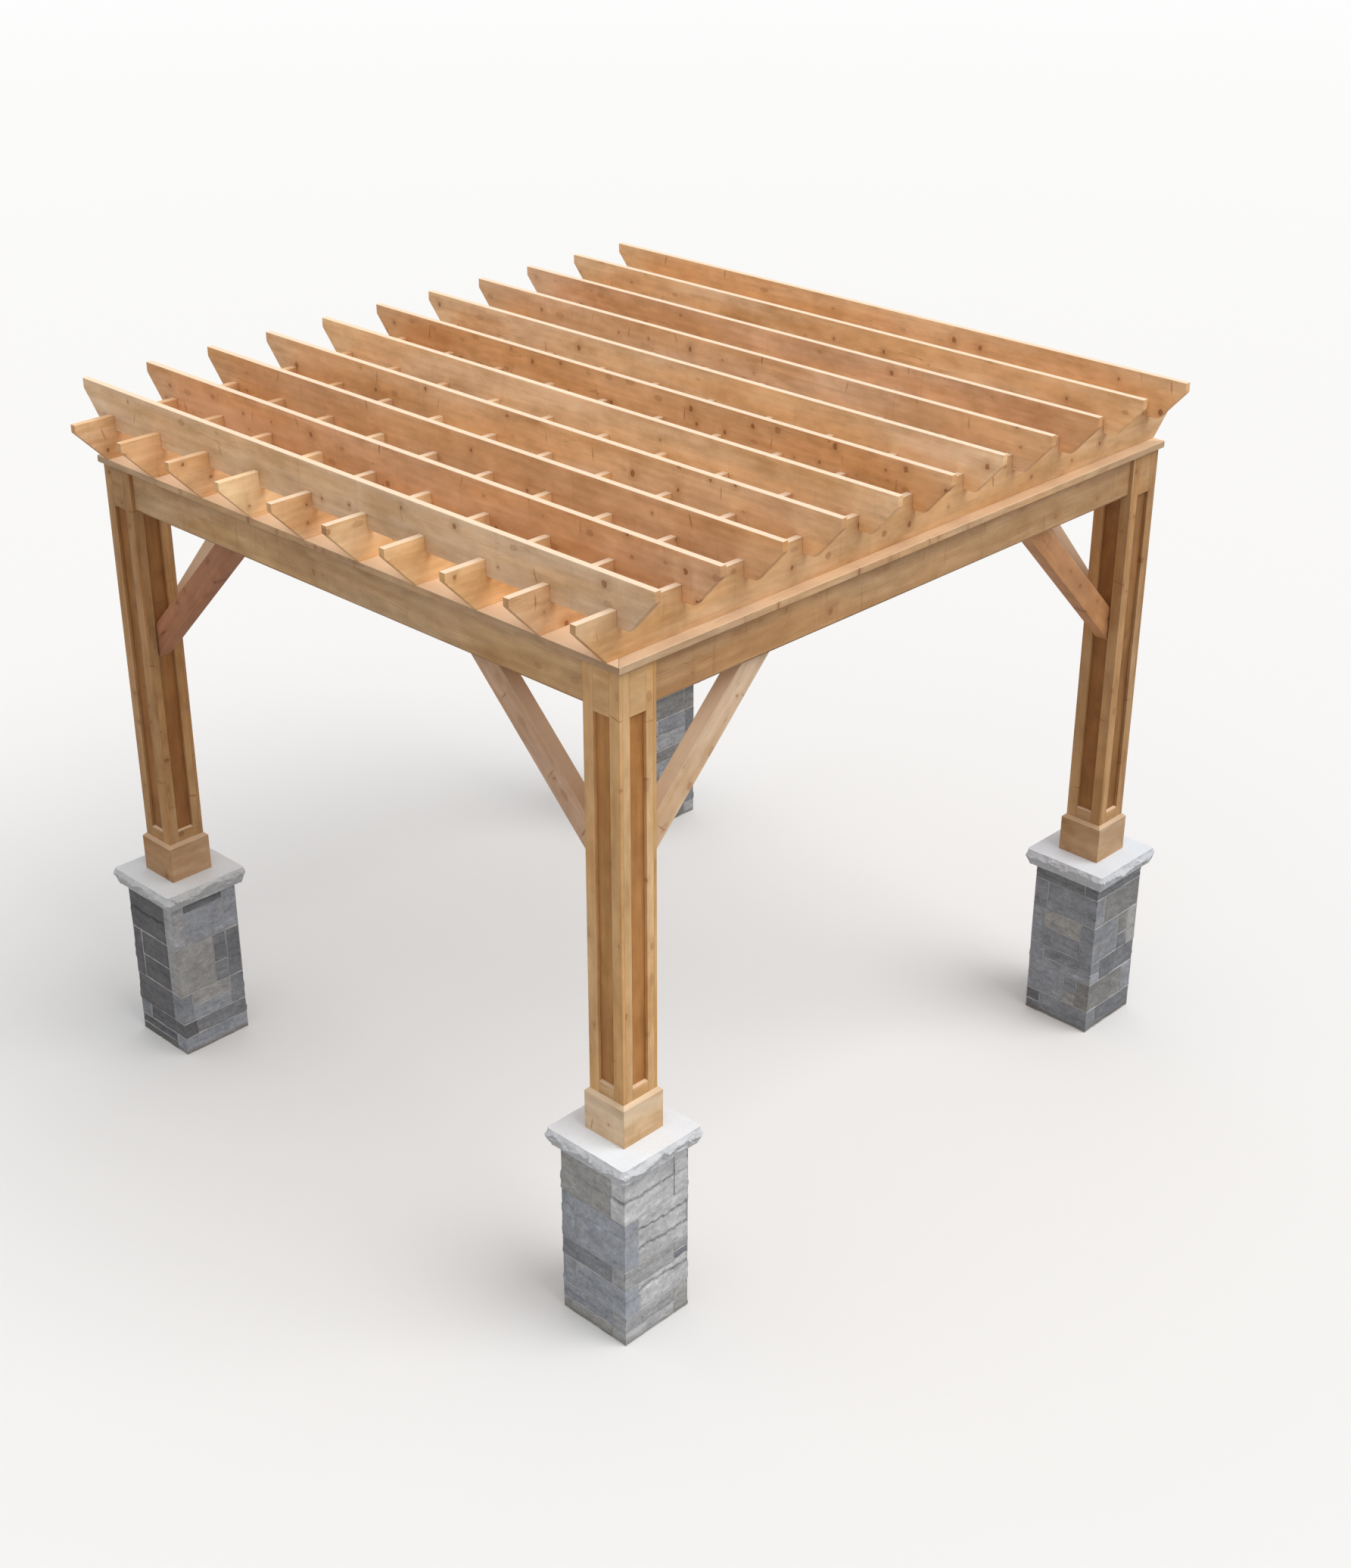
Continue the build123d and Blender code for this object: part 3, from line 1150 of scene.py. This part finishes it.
@dataclass
class CapSlabs:
    """The four cap slabs: smooth tops, edges pitched both ways from a ragged widest line."""

    stone: Material
    cell: float = 0.0073
    top_pitch: float = 0.020
    under_pitch: float = 0.033
    pitch_curve: float = 1.15
    widest_from_top: float = 0.039
    wander: float = 0.028
    least_above: float = 0.006
    least_below: float = 0.025
    corner: float = 0.036
    scallop: float = 0.0135
    cuts: float = 17.0
    cut_height: float = 1.4
    cut_start: float = 0.15
    cut_slope: float = 1.6
    chip: float = 0.0022
    nick: float = 0.0045
    dip: float = 0.0015
    dip_curve: int = 40
    flat_share: float = 0.80
    plain_share: float = 0.76
    # The caps other than the near front left one are toned darker, the back left one most, as painted shade
    tones: tuple[Colour, ...] = (WHITE, (0.92, 0.93, 0.95), (0.86, 0.85, 0.83), (0.93, 0.93, 0.93))

    def build(self) -> None:
        """Shape the slabs and lay each on its pier."""
        box = Box("pier_caps")
        piece = Piece("pier_cap_slabs")
        for corner, tone in zip(CORNERS, self.tones):
            plan = Box(f"{corner}_pier").plan
            half = box.high.x - abs(plan.x)
            slab = self._slab(random.Random(f"cap {corner}"), tone, Vector((half, half, box.size.z / 2)))
            piece.take(slab, Matrix.Translation(plan + UP * box.middle.z))
        piece.deliver("pier_caps", "cap_stone", self.stone, smooth=20.0)

    def _slab(self, draw: random.Random, tone: Colour, reach: Vector) -> Blank:
        """Shape one slab.

        Args:
            draw: Where its chance comes from.
            tone: Its colour, as factors on the finish.
            reach: Its farthest corner from its middle.

        Returns:
            The slab, with its middle at the origin.
        """
        shift = Vector([draw.uniform(0.0, NOISE_ROOM) for _ in range(3)])
        blank = Blank()
        blank.block(-reach, reach)
        blank.divide((self.cell, self.cell, self.cell))
        for face in blank.bm.faces:
            face[blank.zone] = (float(abs(face.normal.z) < 0.5), 0.0, 0.0)
        for vert in blank.bm.verts:
            vert[blank.tint] = (*tone, 1.0)
            vert.co = self._rock(vert.co.copy(), reach.x, 2 * reach.z, shift)
        for way in (-1.0, 1.0):
            blank.plain((0.0, 0.0, way), reach.x * self.plain_share)
        bmesh.ops.recalc_face_normals(blank.bm, faces=blank.bm.faces)
        return blank

    def _facet(self, at: Vector) -> float:
        """How deep the chisel went at a place: the deepest of the flat cuts near it.

        Args:
            at: The place in the noise.

        Returns:
            The depth, from none at 0 to the whole at 1.
        """
        spot = Vector((at.x * self.cuts, at.y * self.cuts, at.z * self.cuts * self.cut_height))
        depths = []
        for centre in noise.voronoi(spot)[1]:
            tilt = noise.cell_vector(centre * 31.0) - Vector((0.5, 0.5, 0.5))
            depths.append(self.cut_start + self.cut_slope * tilt.dot(spot - centre))
        return min(1.0, max(0.0, max(depths)))

    def _rock(self, co: Vector, half: float, depth: float, shift: Vector) -> Vector:
        """Where a point of the sawn slab lies once its edge is pitched.

        Args:
            co: The point.
            half: Half the slab's width.
            depth: The slab's thickness.
            shift: Where this slab reads the noise.

        Returns:
            The moved point.
        """
        rim = max(abs(co.x), abs(co.y)) / half
        if rim < self.flat_share:
            return co

        # The square plan is rounded at its corners
        inner = half - self.corner
        ray = Vector((max(0.0, abs(co.x) - inner), max(0.0, abs(co.y) - inner)))
        if ray.x and ray.y:
            ray = ray.normalized() * max(ray)
        spread = Vector((min(abs(co.x), inner) + ray.x, min(abs(co.y), inner) + ray.y))
        flat = half * self.flat_share
        way = Vector((max(0.0, abs(co.x) - flat), max(0.0, abs(co.y) - flat))).normalized()

        # The edge falls back above and below its widest line, which wanders round the slab
        at = Vector((math.copysign(spread.x, co.x), math.copysign(spread.y, co.y), co.z)) + shift
        ring = Vector((at.x * 6.5, at.y * 6.5, 0.0))
        widest = depth / 2 - self.widest_from_top + self.wander * noise.fractal(ring, 0.75, 2.1, 4)
        widest = min(depth / 2 - self.least_above, max(self.least_below - depth / 2, widest))
        if co.z > widest:
            pitch = self.top_pitch * ((co.z - widest) / (depth / 2 - widest)) ** self.pitch_curve
        else:
            pitch = self.under_pitch * ((widest - co.z) / (depth / 2 + widest)) ** self.pitch_curve

        # Chisel cuts and chips cross its middle, small nicks and dips its two rims
        middle = 1.0 - abs(2.0 * co.z / depth) ** 3
        broken = noise.fractal(at * 30.0, 0.7, 2.1, 3)
        pitch += max(0.0, self.scallop * self._facet(at) + self.chip * broken) * middle
        pitch += self.nick * max(0.0, noise.fractal(ring * 3.0, 0.8, 2.1, 3)) * (1.0 - middle)
        pitched = spread - way * pitch * (rim - self.flat_share) / (1.0 - self.flat_share)
        drop = 0.0
        if co.z > depth / 2 - TINY:
            drop = self.dip * max(0.0, noise.noise(ring * 2.2)) * rim ** self.dip_curve
        return Vector((math.copysign(pitched.x, co.x), math.copysign(pitched.y, co.y), co.z - drop))


# Columns and their frame


@dataclass
class ColumnSkirts:
    """Mitred boards round the feet of the columns, bevelled along their top."""

    tones: Sequence[Tone]
    wood: Material
    thickness: float = 0.020
    bevel: float = 0.018

    def build(self) -> None:
        """Cut and lay the skirt boards."""
        box = Box("column_skirts")
        piece = Piece("column_skirt_boards")
        for corner, tone in zip(CORNERS, self.tones):
            plan = Box(f"{corner}_column").plan
            half = box.high.x - abs(plan.x)
            outline = rectangle(-half, half, box.low.z, box.high.z)
            mitres = [((way * (half - HAIR / 2), 0.0, 0.0), (way, 0.0, -1.0)) for way in (-1.0, 1.0)]
            saws = (*mitres, ((0.0, box.high.z, -self.bevel), (0.0, 1.0, 1.0)))
            for side in Side:
                Board(
                    f"skirt {corner} {side.name}", outline, self.thickness, tone, knots=0.8, saws=saws,
                    arris=0.0012,
                ).cut(piece, laid(side.along, UP, plan + side.outward * half))
        piece.deliver("column_skirts", "column_wood", self.wood)


@dataclass
class BoxColumn:
    """A box column: stiles and rails round a recessed panel on all four sides."""

    corner: str
    tone: Tone
    wood: Material
    panel_wood: Material
    stile: float = 0.065
    board: float = 0.019
    top_rail: float = 0.239
    bottom_rail: float = 0.305
    sill_slope: float = 0.005
    arris: float = 0.0013

    def build(self) -> None:
        """Cut and lay the column's boards."""
        node = f"{self.corner}_column"
        box = Box(node)
        half = box.half(EAST)
        frames = Piece(f"{node}_frame")
        panels = Piece(f"{node}_panels")
        for side in Side:
            # The boards on the left and right cover the edges of those in front and behind
            covers = side in (Side.LEFT, Side.RIGHT)
            self._frame(frames, side, box, half if covers else half - self.board - HAIR)
            reach = half - self.board * (1 if covers else 2) - HAIR
            Board(
                f"{node} panel {side.name}", rectangle(-reach, reach, box.low.z, box.high.z), self.board,
                self.tone, run=(0.0, 1.0), arris=0.001, vary=0.12,
            ).cut(panels, laid(side.along, UP, box.plan + side.outward * (half - self.board)))
        frames.deliver(node, "column_wood", self.wood)
        panels.deliver(node, "column_wood", self.panel_wood)

    def _frame(self, piece: Piece, side: Side, box: Box, outer: float) -> None:
        """Cut the stiles and rails of one side.

        Args:
            piece: The frame's piece.
            side: The side.
            box: The column's space.
            outer: How far its stiles reach from the middle.
        """
        half = box.half(EAST)
        inner = half - self.stile
        edge = inner - HAIR
        low, high = box.low.z, box.high.z
        place = laid(side.along, UP, box.plan + side.outward * half)
        name = f"{self.corner} {side.name}"
        for left, right in ((-outer, -inner), (inner, outer)):
            Board(
                f"{name} stile {left < 0}", rectangle(left, right, low, high), self.board, self.tone,
                run=(0.0, 1.0), arris=self.arris,
            ).cut(piece, place)
        Board(
            f"{name} top rail", rectangle(-edge, edge, high - self.top_rail, high), self.board, self.tone,
            knots=0.5, arris=self.arris,
        ).cut(piece, place)
        sill = low + self.bottom_rail
        lean = ((0.0, sill, 0.0), (0.0, self.board, self.sill_slope))
        rail = rectangle(-edge, edge, low, sill + self.sill_slope)
        Board(
            f"{name} bottom rail", rail, self.board, self.tone, knots=0.5, arris=self.arris, saws=(lean,)
        ).cut(piece, place)


@dataclass
class BoxBeam:
    """A box beam: two side boards, and a bottom board that reaches up between them by a step."""

    side: Side
    outer: Tone
    wood: Material
    board: float = 0.038
    step: float = 0.006

    def build(self) -> None:
        """Cut and lay the beam's boards."""
        node = f"{self.side.name.lower()}_beam"
        box = Box(node)
        outward = self.side.outward
        across, along = box.half(outward), box.half(self.side.along)
        piece = Piece(f"{node}_boards")
        outline = rectangle(-along, along, box.low.z, box.high.z)
        for face, tone in ((outward, self.outer), (-outward, Tone.HONEY)):
            board = Board(f"{node} {tone}", outline, self.board, tone)
            board.cut(piece, laid(UP.cross(face), UP, box.plan + face * across))
        inside = across - self.board - HAIR
        bottom = Board(f"{node} bottom", rectangle(-along, along, -inside, inside), self.board, Tone.TAN)
        # Its top lies a step above the side boards' lower edges, where on the real beam its underside is
        underside = box.low.z + self.step - self.board
        bottom.cut(piece, laid(self.side.along, outward, box.plan + UP * underside))
        piece.deliver(node, "beam_wood", self.wood)


@dataclass
class TopPlate:
    """A flat board on a beam and its two columns, mitred at both ends."""

    side: Side
    top_paling: float
    wood: Material
    width: float = 0.286

    def build(self) -> None:
        """Cut and lay the plate."""
        node = f"{self.side.name.lower()}_top_plate"
        box = Box(node)
        outer = box.half(self.side.along)
        edge = box.edge(self.side.outward)
        inner = outer - self.width
        outline = [(-inner, edge - self.width), (inner, edge - self.width), (outer, edge), (-outer, edge)]
        piece = Piece(f"{node}_board")
        place = laid(-self.side.along, self.side.outward, UP * box.high.z)
        Board(node, outline, box.size.z, Tone.TAN, top_paling=self.top_paling, arris=0.003).cut(piece, place)
        piece.deliver(node, "beam_wood", self.wood)


@dataclass
class KneeBraces:
    """The two braces of one side, from the column panels up into the beam's groove."""

    side: Side
    tones: tuple[Tone, Tone]
    wood: Material
    depth: float = 0.140

    def build(self) -> None:
        """Cut and lay the braces, each at 45 degrees."""
        node = f"{self.side.name.lower()}_braces"
        box = Box(node)
        half, span = box.half(self.side.along), box.size.z
        low, high = box.low.z, box.high.z
        rise = self.depth * math.sqrt(2.0)
        slope = math.sqrt(0.5)
        path = [(half, low), (half - span, high), (half - span + rise, high), (half, low + rise)]
        place = laid(self.side.along, UP, self.side.outward * box.edge(self.side.outward))
        piece = Piece(f"{node}_timbers")
        for way, tone in zip((-1, 1), self.tones):
            Board(
                f"{node} {way}", [(way * x, z) for x, z in path], 2 * box.half(self.side.outward), tone,
                run=(-way * slope, slope), arris=0.0035,
            ).cut(piece, place)
        piece.deliver(node, "brace_wood", self.wood)


# Canopy


@dataclass
class CanopyLayer:
    """One layer of the canopy: boards on edge with undercut tails, halved where the layers cross."""

    name: str
    along: Vector
    boards: Sequence[tuple[Tone, float, float]]
    wood: Material
    foot: float
    nose: float
    notch_from_top: bool
    lap: float = 0.084
    notch: float = 0.039

    def __post_init__(self) -> None:
        """Find the CAD nodes of the layer's boards."""
        names = [f"{self.name}_{number:02d}" for number in range(1, len(self.boards) + 1)]
        self.boxes = {name: Box(name) for name in names}

    def build(self, crossing: "CanopyLayer") -> None:
        """Cut and lay the boards.

        Args:
            crossing: The other layer.
        """
        outward = self.along.cross(UP)
        lines = [box.middle.dot(self.along) for box in crossing.boxes.values()]
        for (node, box), (tone, knots, top_paling) in zip(self.boxes.items(), self.boards):
            thickness = 2 * box.half(outward)
            outline = self._outline(box.low.z, box.high.z, box.half(self.along), lines)
            piece = Piece(f"{node}_board")
            board = Board(node, outline, thickness, tone, knots=knots, top_paling=top_paling, vary=0.02)
            board.cut(piece, laid(self.along, UP, box.plan + outward * thickness / 2))
            piece.deliver(node, "canopy_wood", self.wood)

    def _outline(self, low: float, high: float, tip: float, lines: Sequence[float]) -> Outline:
        """Outline of a board, with its tails and notches.

        Args:
            low: The board's lower edge.
            high: Its upper edge.
            tip: Half its length.
            lines: The middles of the notches.

        Returns:
            The outline, anticlockwise.
        """
        bottom = [(-self.foot, low), (self.foot, low)]
        top = [(tip, high), (-tip, high)]
        edge, level, way = (top, high, -1.0) if self.notch_from_top else (bottom, low, 1.0)
        seat = level + way * self.lap / 2
        notches = []
        for line in sorted(lines, reverse=self.notch_from_top):
            near, far = line - way * self.notch / 2, line + way * self.notch / 2
            notches += [(near, level), (near, seat), (far, seat), (far, level)]
        edge[1:1] = notches
        return [*bottom, (tip, high - self.nose), *top, (-tip, high - self.nose)]


@dataclass
class Studio:
    """Pale floor, soft light and the camera at the photograph's angle."""

    camera_at: Triple = (-8.58377, -8.59078, 7.87661)
    yaw: float = -46.0198
    pitch: float = 27.2309
    roll: float = 0.0917
    focal: float = 52.865
    film: float = 36.0
    far_clip: float = 500.0
    floor_size: float = 260.0
    fade: tuple[float, float] = (8.0, 60.0)
    floor_colour: Colour = (0.79, 0.79, 0.79)
    floor_bounce: Colour = (0.46, 0.45, 0.44)
    sky_low: float = 0.45
    sky_high: float = 0.92
    sun: float = 1.6
    sun_colour: Colour = (1.0, 0.985, 0.96)
    sun_spread: float = 42.0
    sun_from: Triple = (0.30, -0.78, 1.25)

    def build(self) -> None:
        """Make the camera, the lights and the floor."""
        self._camera()
        self._sky()
        self._lamp()
        self._floor()
        bpy.context.scene.view_settings.view_transform = "Standard"

    def _camera(self) -> None:
        """Put the camera where the photograph was taken."""
        yaw, pitch, roll = (math.radians(angle) for angle in (self.yaw, self.pitch, self.roll))
        reach = math.cos(pitch)
        forward = Vector((-math.sin(yaw) * reach, math.cos(yaw) * reach, -math.sin(pitch)))
        level = Vector((math.cos(yaw), math.sin(yaw), 0.0))
        upright = level.cross(forward)
        right = math.cos(roll) * level + math.sin(roll) * upright
        up = -math.sin(roll) * level + math.cos(roll) * upright
        data = bpy.data.cameras.new("camera")
        data.lens = self.focal
        data.sensor_fit = "VERTICAL"
        data.sensor_height = self.film
        data.clip_end = self.far_clip
        camera = show(data)
        camera.matrix_world = laid(right, up, Vector(self.camera_at))
        bpy.context.scene.camera = camera

    @staticmethod
    def _shown(g: Graph) -> Wire:
        """Whether a ray shows the background to the camera, directly or in a reflection."""
        rays = g.outputs(g.node("LightPath"))
        return g.clamp(rays["Is Camera Ray"] + rays["Is Glossy Ray"] + rays["Is Transmission Ray"])

    def _sky(self) -> None:
        """Make a sky that is brighter overhead, and white where it is seen."""
        world = bpy.data.worlds.new("sky")
        world.use_nodes = True
        g = Graph(world.node_tree)
        height = g.split(g.take("TexCoord", None, "Generated"))[2]
        light = g.ease(height, 0.0, 1.0, self.sky_low, self.sky_high)
        strength = light + self._shown(g) * (1.0 - light)
        g.node("OutputWorld", {"Surface": g.take("Background", {"Color": WHITE, "Strength": strength})})
        bpy.context.scene.world = world

    def _lamp(self) -> None:
        """Add one broad lamp from the front."""
        lamp = bpy.data.lights.new("broad_lamp", "SUN")
        lamp.energy = self.sun
        lamp.angle = math.radians(self.sun_spread)
        lamp.color = self.sun_colour
        show(lamp).matrix_world = Vector(self.sun_from).to_track_quat("Z", "Y").to_matrix().to_4x4()

    def _floor(self) -> None:
        """Lay the pale floor, which sends back less light than it shows and fades to white far away."""
        material = bpy.data.materials.new("pale_floor")
        material.use_nodes = True
        g = Graph(material.node_tree)
        shown = self._shown(g)
        diffuse = g.take("BsdfDiffuse", {"Color": g.mix(shown, self.floor_bounce, self.floor_colour)})
        glow = g.take("Emission", {"Color": WHITE, "Strength": 1.0})
        far = shown * g.ease(g.length(g.place()), *self.fade)
        g.node("OutputMaterial", {"Surface": g.take("MixShader", {0: far, 1: diffuse, 2: glow})})
        bm = bmesh.new()
        bmesh.ops.create_grid(bm, x_segments=1, y_segments=1, size=self.floor_size / 2)
        mesh = bpy.data.meshes.new("floor")
        bm.to_mesh(mesh)
        bm.free()
        mesh.materials.append(material)
        show(mesh)


# The whole object

SHADOW, SLATE, EARTH, DUSK, BLUE, FAWN, DOVE, PEARL = StoneTone
# The back left pier's left face, less so its front, and the front right pier's front face are laid in darker
# stones as painted shade
PIERS = {
    "front_left": (
        Course(0.278, 1, Bond.CLEFT, (PEARL,), Bond.WHOLE, (FAWN,)),
        Course(0.292, -1, Bond.LEDGES, (PEARL,), Bond.WHOLE, (BLUE,)),
        Course(0.115, 1, Bond.WHOLE, (DOVE,), Bond.WHOLE, (DUSK,)),
        Course(0.176, -1, Bond.SHELF, (PEARL,), Bond.WHOLE, (BLUE,)),
        Course(0.167, 1, Bond.STACK, (PEARL, DOVE), Bond.STACK, (FAWN, BLUE)),
    ),
    "back_left": (
        Course(0.297, 1, Bond.JAMB_THIN_TOP, (DOVE, BLUE, SLATE), Bond.CLEFT, (SHADOW,)),
        Course(0.328, 1, Bond.BLOCK_STACK, (FAWN, DUSK, SLATE), Bond.JAMB_STACK, (SHADOW, SHADOW, SHADOW)),
        Course(0.193, 1, Bond.JAMB_STACK, (DUSK, BLUE, FAWN), Bond.WHOLE, (SHADOW,)),
        Course(0.100, -1, Bond.WHOLE, (DUSK,), Bond.WHOLE, (SHADOW,)),
        Course(0.110, 1, Bond.WHOLE, (BLUE,), Bond.STACK, (SLATE, SHADOW)),
    ),
    "front_right": (
        Course(0.096, 1, Bond.WHOLE, (SLATE,), Bond.WHOLE, (SLATE,)),
        Course(0.197, -1, Bond.WHOLE, (EARTH,), Bond.WHOLE, (DUSK,)),
        Course(0.250, 1, Bond.BLOCK_STACK, (DUSK, SLATE, EARTH), Bond.JAMB_STACK, (BLUE, DUSK, FAWN)),
        Course(0.150, -1, Bond.WHOLE, (SLATE,), Bond.STACK, (BLUE, DUSK)),
        Course(0.190, 1, Bond.WHOLE, (EARTH,), Bond.BLOCK_STACK, (BLUE, FAWN, DUSK)),
        Course(0.145, -1, Bond.WHOLE, (SLATE,), Bond.WHOLE, (DUSK,)),
    ),
    "back_right": (
        Course(0.190, 1, Bond.WHOLE, (EARTH,), Bond.THIN_TOP, (FAWN, SLATE)),
        Course(0.240, -1, Bond.JAMB_STACK, (SLATE, DOVE, DUSK), Bond.CLEFT, (DOVE,)),
        Course(0.170, 1, Bond.STACK, (BLUE, EARTH), Bond.WHOLE, (BLUE,)),
        Course(0.230, -1, Bond.LEDGES, (DOVE,), Bond.BLOCK_STACK, (EARTH, FAWN, SLATE)),
        Course(0.198, 1, Bond.WHOLE, (SLATE,), Bond.STACK, (DUSK, DOVE)),
    ),
}
CREAM, HONEY, TAN, ROSE, RUSSET, ASH, AMBER, UMBER, COPPER, RUST = Tone
# Each board's tone, how knotty it is and how far its top has paled
RAFTERS = (
    (ASH, 1.2, 1.0), (ROSE, 1.8, 1.0), (RUSSET, 0.8, 1.0), (HONEY, 1.0, 1.0), (CREAM, 0.5, 1.0),
    (RUSSET, 2.6, 1.0), (CREAM, 0.7, 1.0), (TAN, 1.4, 1.0), (ROSE, 0.9, 1.0), (CREAM, 0.8, 1.0),
    (HONEY, 1.0, 1.0),
)
# joist_01's darker amber tone is partly its own colour and partly painted shade of the rafter tails; the
# last four joists' tops pale less than the rest
JOISTS = (
    (AMBER, 1.2, 1.0), (ROSE, 0.8, 1.0), (HONEY, 1.2, 1.0), (HONEY, 0.6, 0.9), (HONEY, 1.4, 1.0),
    (ROSE, 0.8, 0.9), (CREAM, 1.2, 0.4), (ROSE, 1.0, 0.2), (ROSE, 1.4, 0.15), (ROSE, 1.0, 0.15),
)
# The front right and back left columns take the darker umber tone as painted shade
COLUMN_TONES = (HONEY, UMBER, UMBER, TAN)
# The back left skirt's copper tone is its own orange colour, darkened further as painted shade
SKIRT_TONES = (HONEY, AMBER, COPPER, HONEY)
# The two copper braces by the front right column are darker as painted shade; the rust brace at the back
# left is a red-brown board
BRACE_TONES = {
    Side.FRONT: (CREAM, COPPER),
    Side.RIGHT: (COPPER, TAN),
    Side.BACK: (RUSSET, HONEY),
    Side.LEFT: (RUST, ROSE),
}


def build_piers() -> None:
    """Build the stone piers and their caps."""
    stone, mortar = StoneFinish().dress(), MortarFinish().dress()
    for corner, courses in PIERS.items():
        StonePier(corner, courses, stone, mortar).build()
    CapSlabs(CapFinish().dress()).build()


def build_columns() -> None:
    """Build the columns and their skirts."""
    wood = WoodFinish("column_boards", (0.67, 0.42, 0.205), (0.47, 0.275, 0.115), knots=0.4, checks=0.1)
    panel = WoodFinish("panel_boards", (0.49, 0.24, 0.080), (0.31, 0.14, 0.040), knots=0.35, checks=0.1)
    skirt = WoodFinish(
        "skirt_boards", (0.67, 0.51, 0.335), (0.50, 0.355, 0.22), figure=0.3, checks=0.0, sun=0.5
    )
    frame_wood, panel_wood = wood.dress(), panel.dress()
    for corner, tone in zip(CORNERS, COLUMN_TONES):
        BoxColumn(corner, tone, frame_wood, panel_wood).build()
    ColumnSkirts(SKIRT_TONES, skirt.dress()).build()


def build_frame() -> None:
    """Build the beams, the plates and the braces."""
    beam = WoodFinish(
        "beam_boards", (0.555, 0.35, 0.185), (0.355, 0.205, 0.095), ring=0.012, figure=0.9, knots=0.25,
        stain=0.3,
    ).dress()
    plate = WoodFinish(
        "plate_boards", (0.60, 0.40, 0.22), (0.40, 0.235, 0.11), bleached=(0.90, 0.67, 0.46), knots=0.3,
        checks=0.6,
    ).dress()
    brace = WoodFinish(
        "brace_timbers", (0.74, 0.50, 0.31), (0.52, 0.31, 0.17), knots=0.6, checks=0.7
    ).dress()
    for side, tones in BRACE_TONES.items():
        BoxBeam(side, CREAM if side is Side.LEFT else HONEY, beam).build()
        # The front plate's top pales half as much as the others: painted shade of the rafter tails above it
        TopPlate(side, 0.5 if side is Side.FRONT else 1.0, plate).build()
        KneeBraces(side, tones, brace).build()


def build_canopy() -> None:
    """Build the joists and the rafters, whose feet end above the plates' edges."""
    pale = (0.88, 0.70, 0.52)
    joist = WoodFinish("joist_boards", (0.91, 0.655, 0.38), (0.65, 0.405, 0.19), bleached=pale, stain=0.25)
    rafter = WoodFinish("rafter_boards", (0.95, 0.65, 0.385), (0.67, 0.395, 0.19), bleached=pale)
    foot_x, foot_y = Box("right_top_plate").high.x, Box("back_top_plate").high.y
    joists = CanopyLayer("joist", EAST, JOISTS, joist.dress(), foot_x, 0.045, True)
    rafters = CanopyLayer("rafter", NORTH, RAFTERS, rafter.dress(), foot_y, 0.055, False)
    joists.build(rafters)
    rafters.build(joists)


def main() -> None:
    """Build the sub-assemblies in order."""
    logging.basicConfig(level=logging.INFO, format="%(name)s: %(message)s")
    Studio().build()
    build_piers()
    build_columns()
    build_frame()
    build_canopy()


if __name__ == "__main__":
    main()
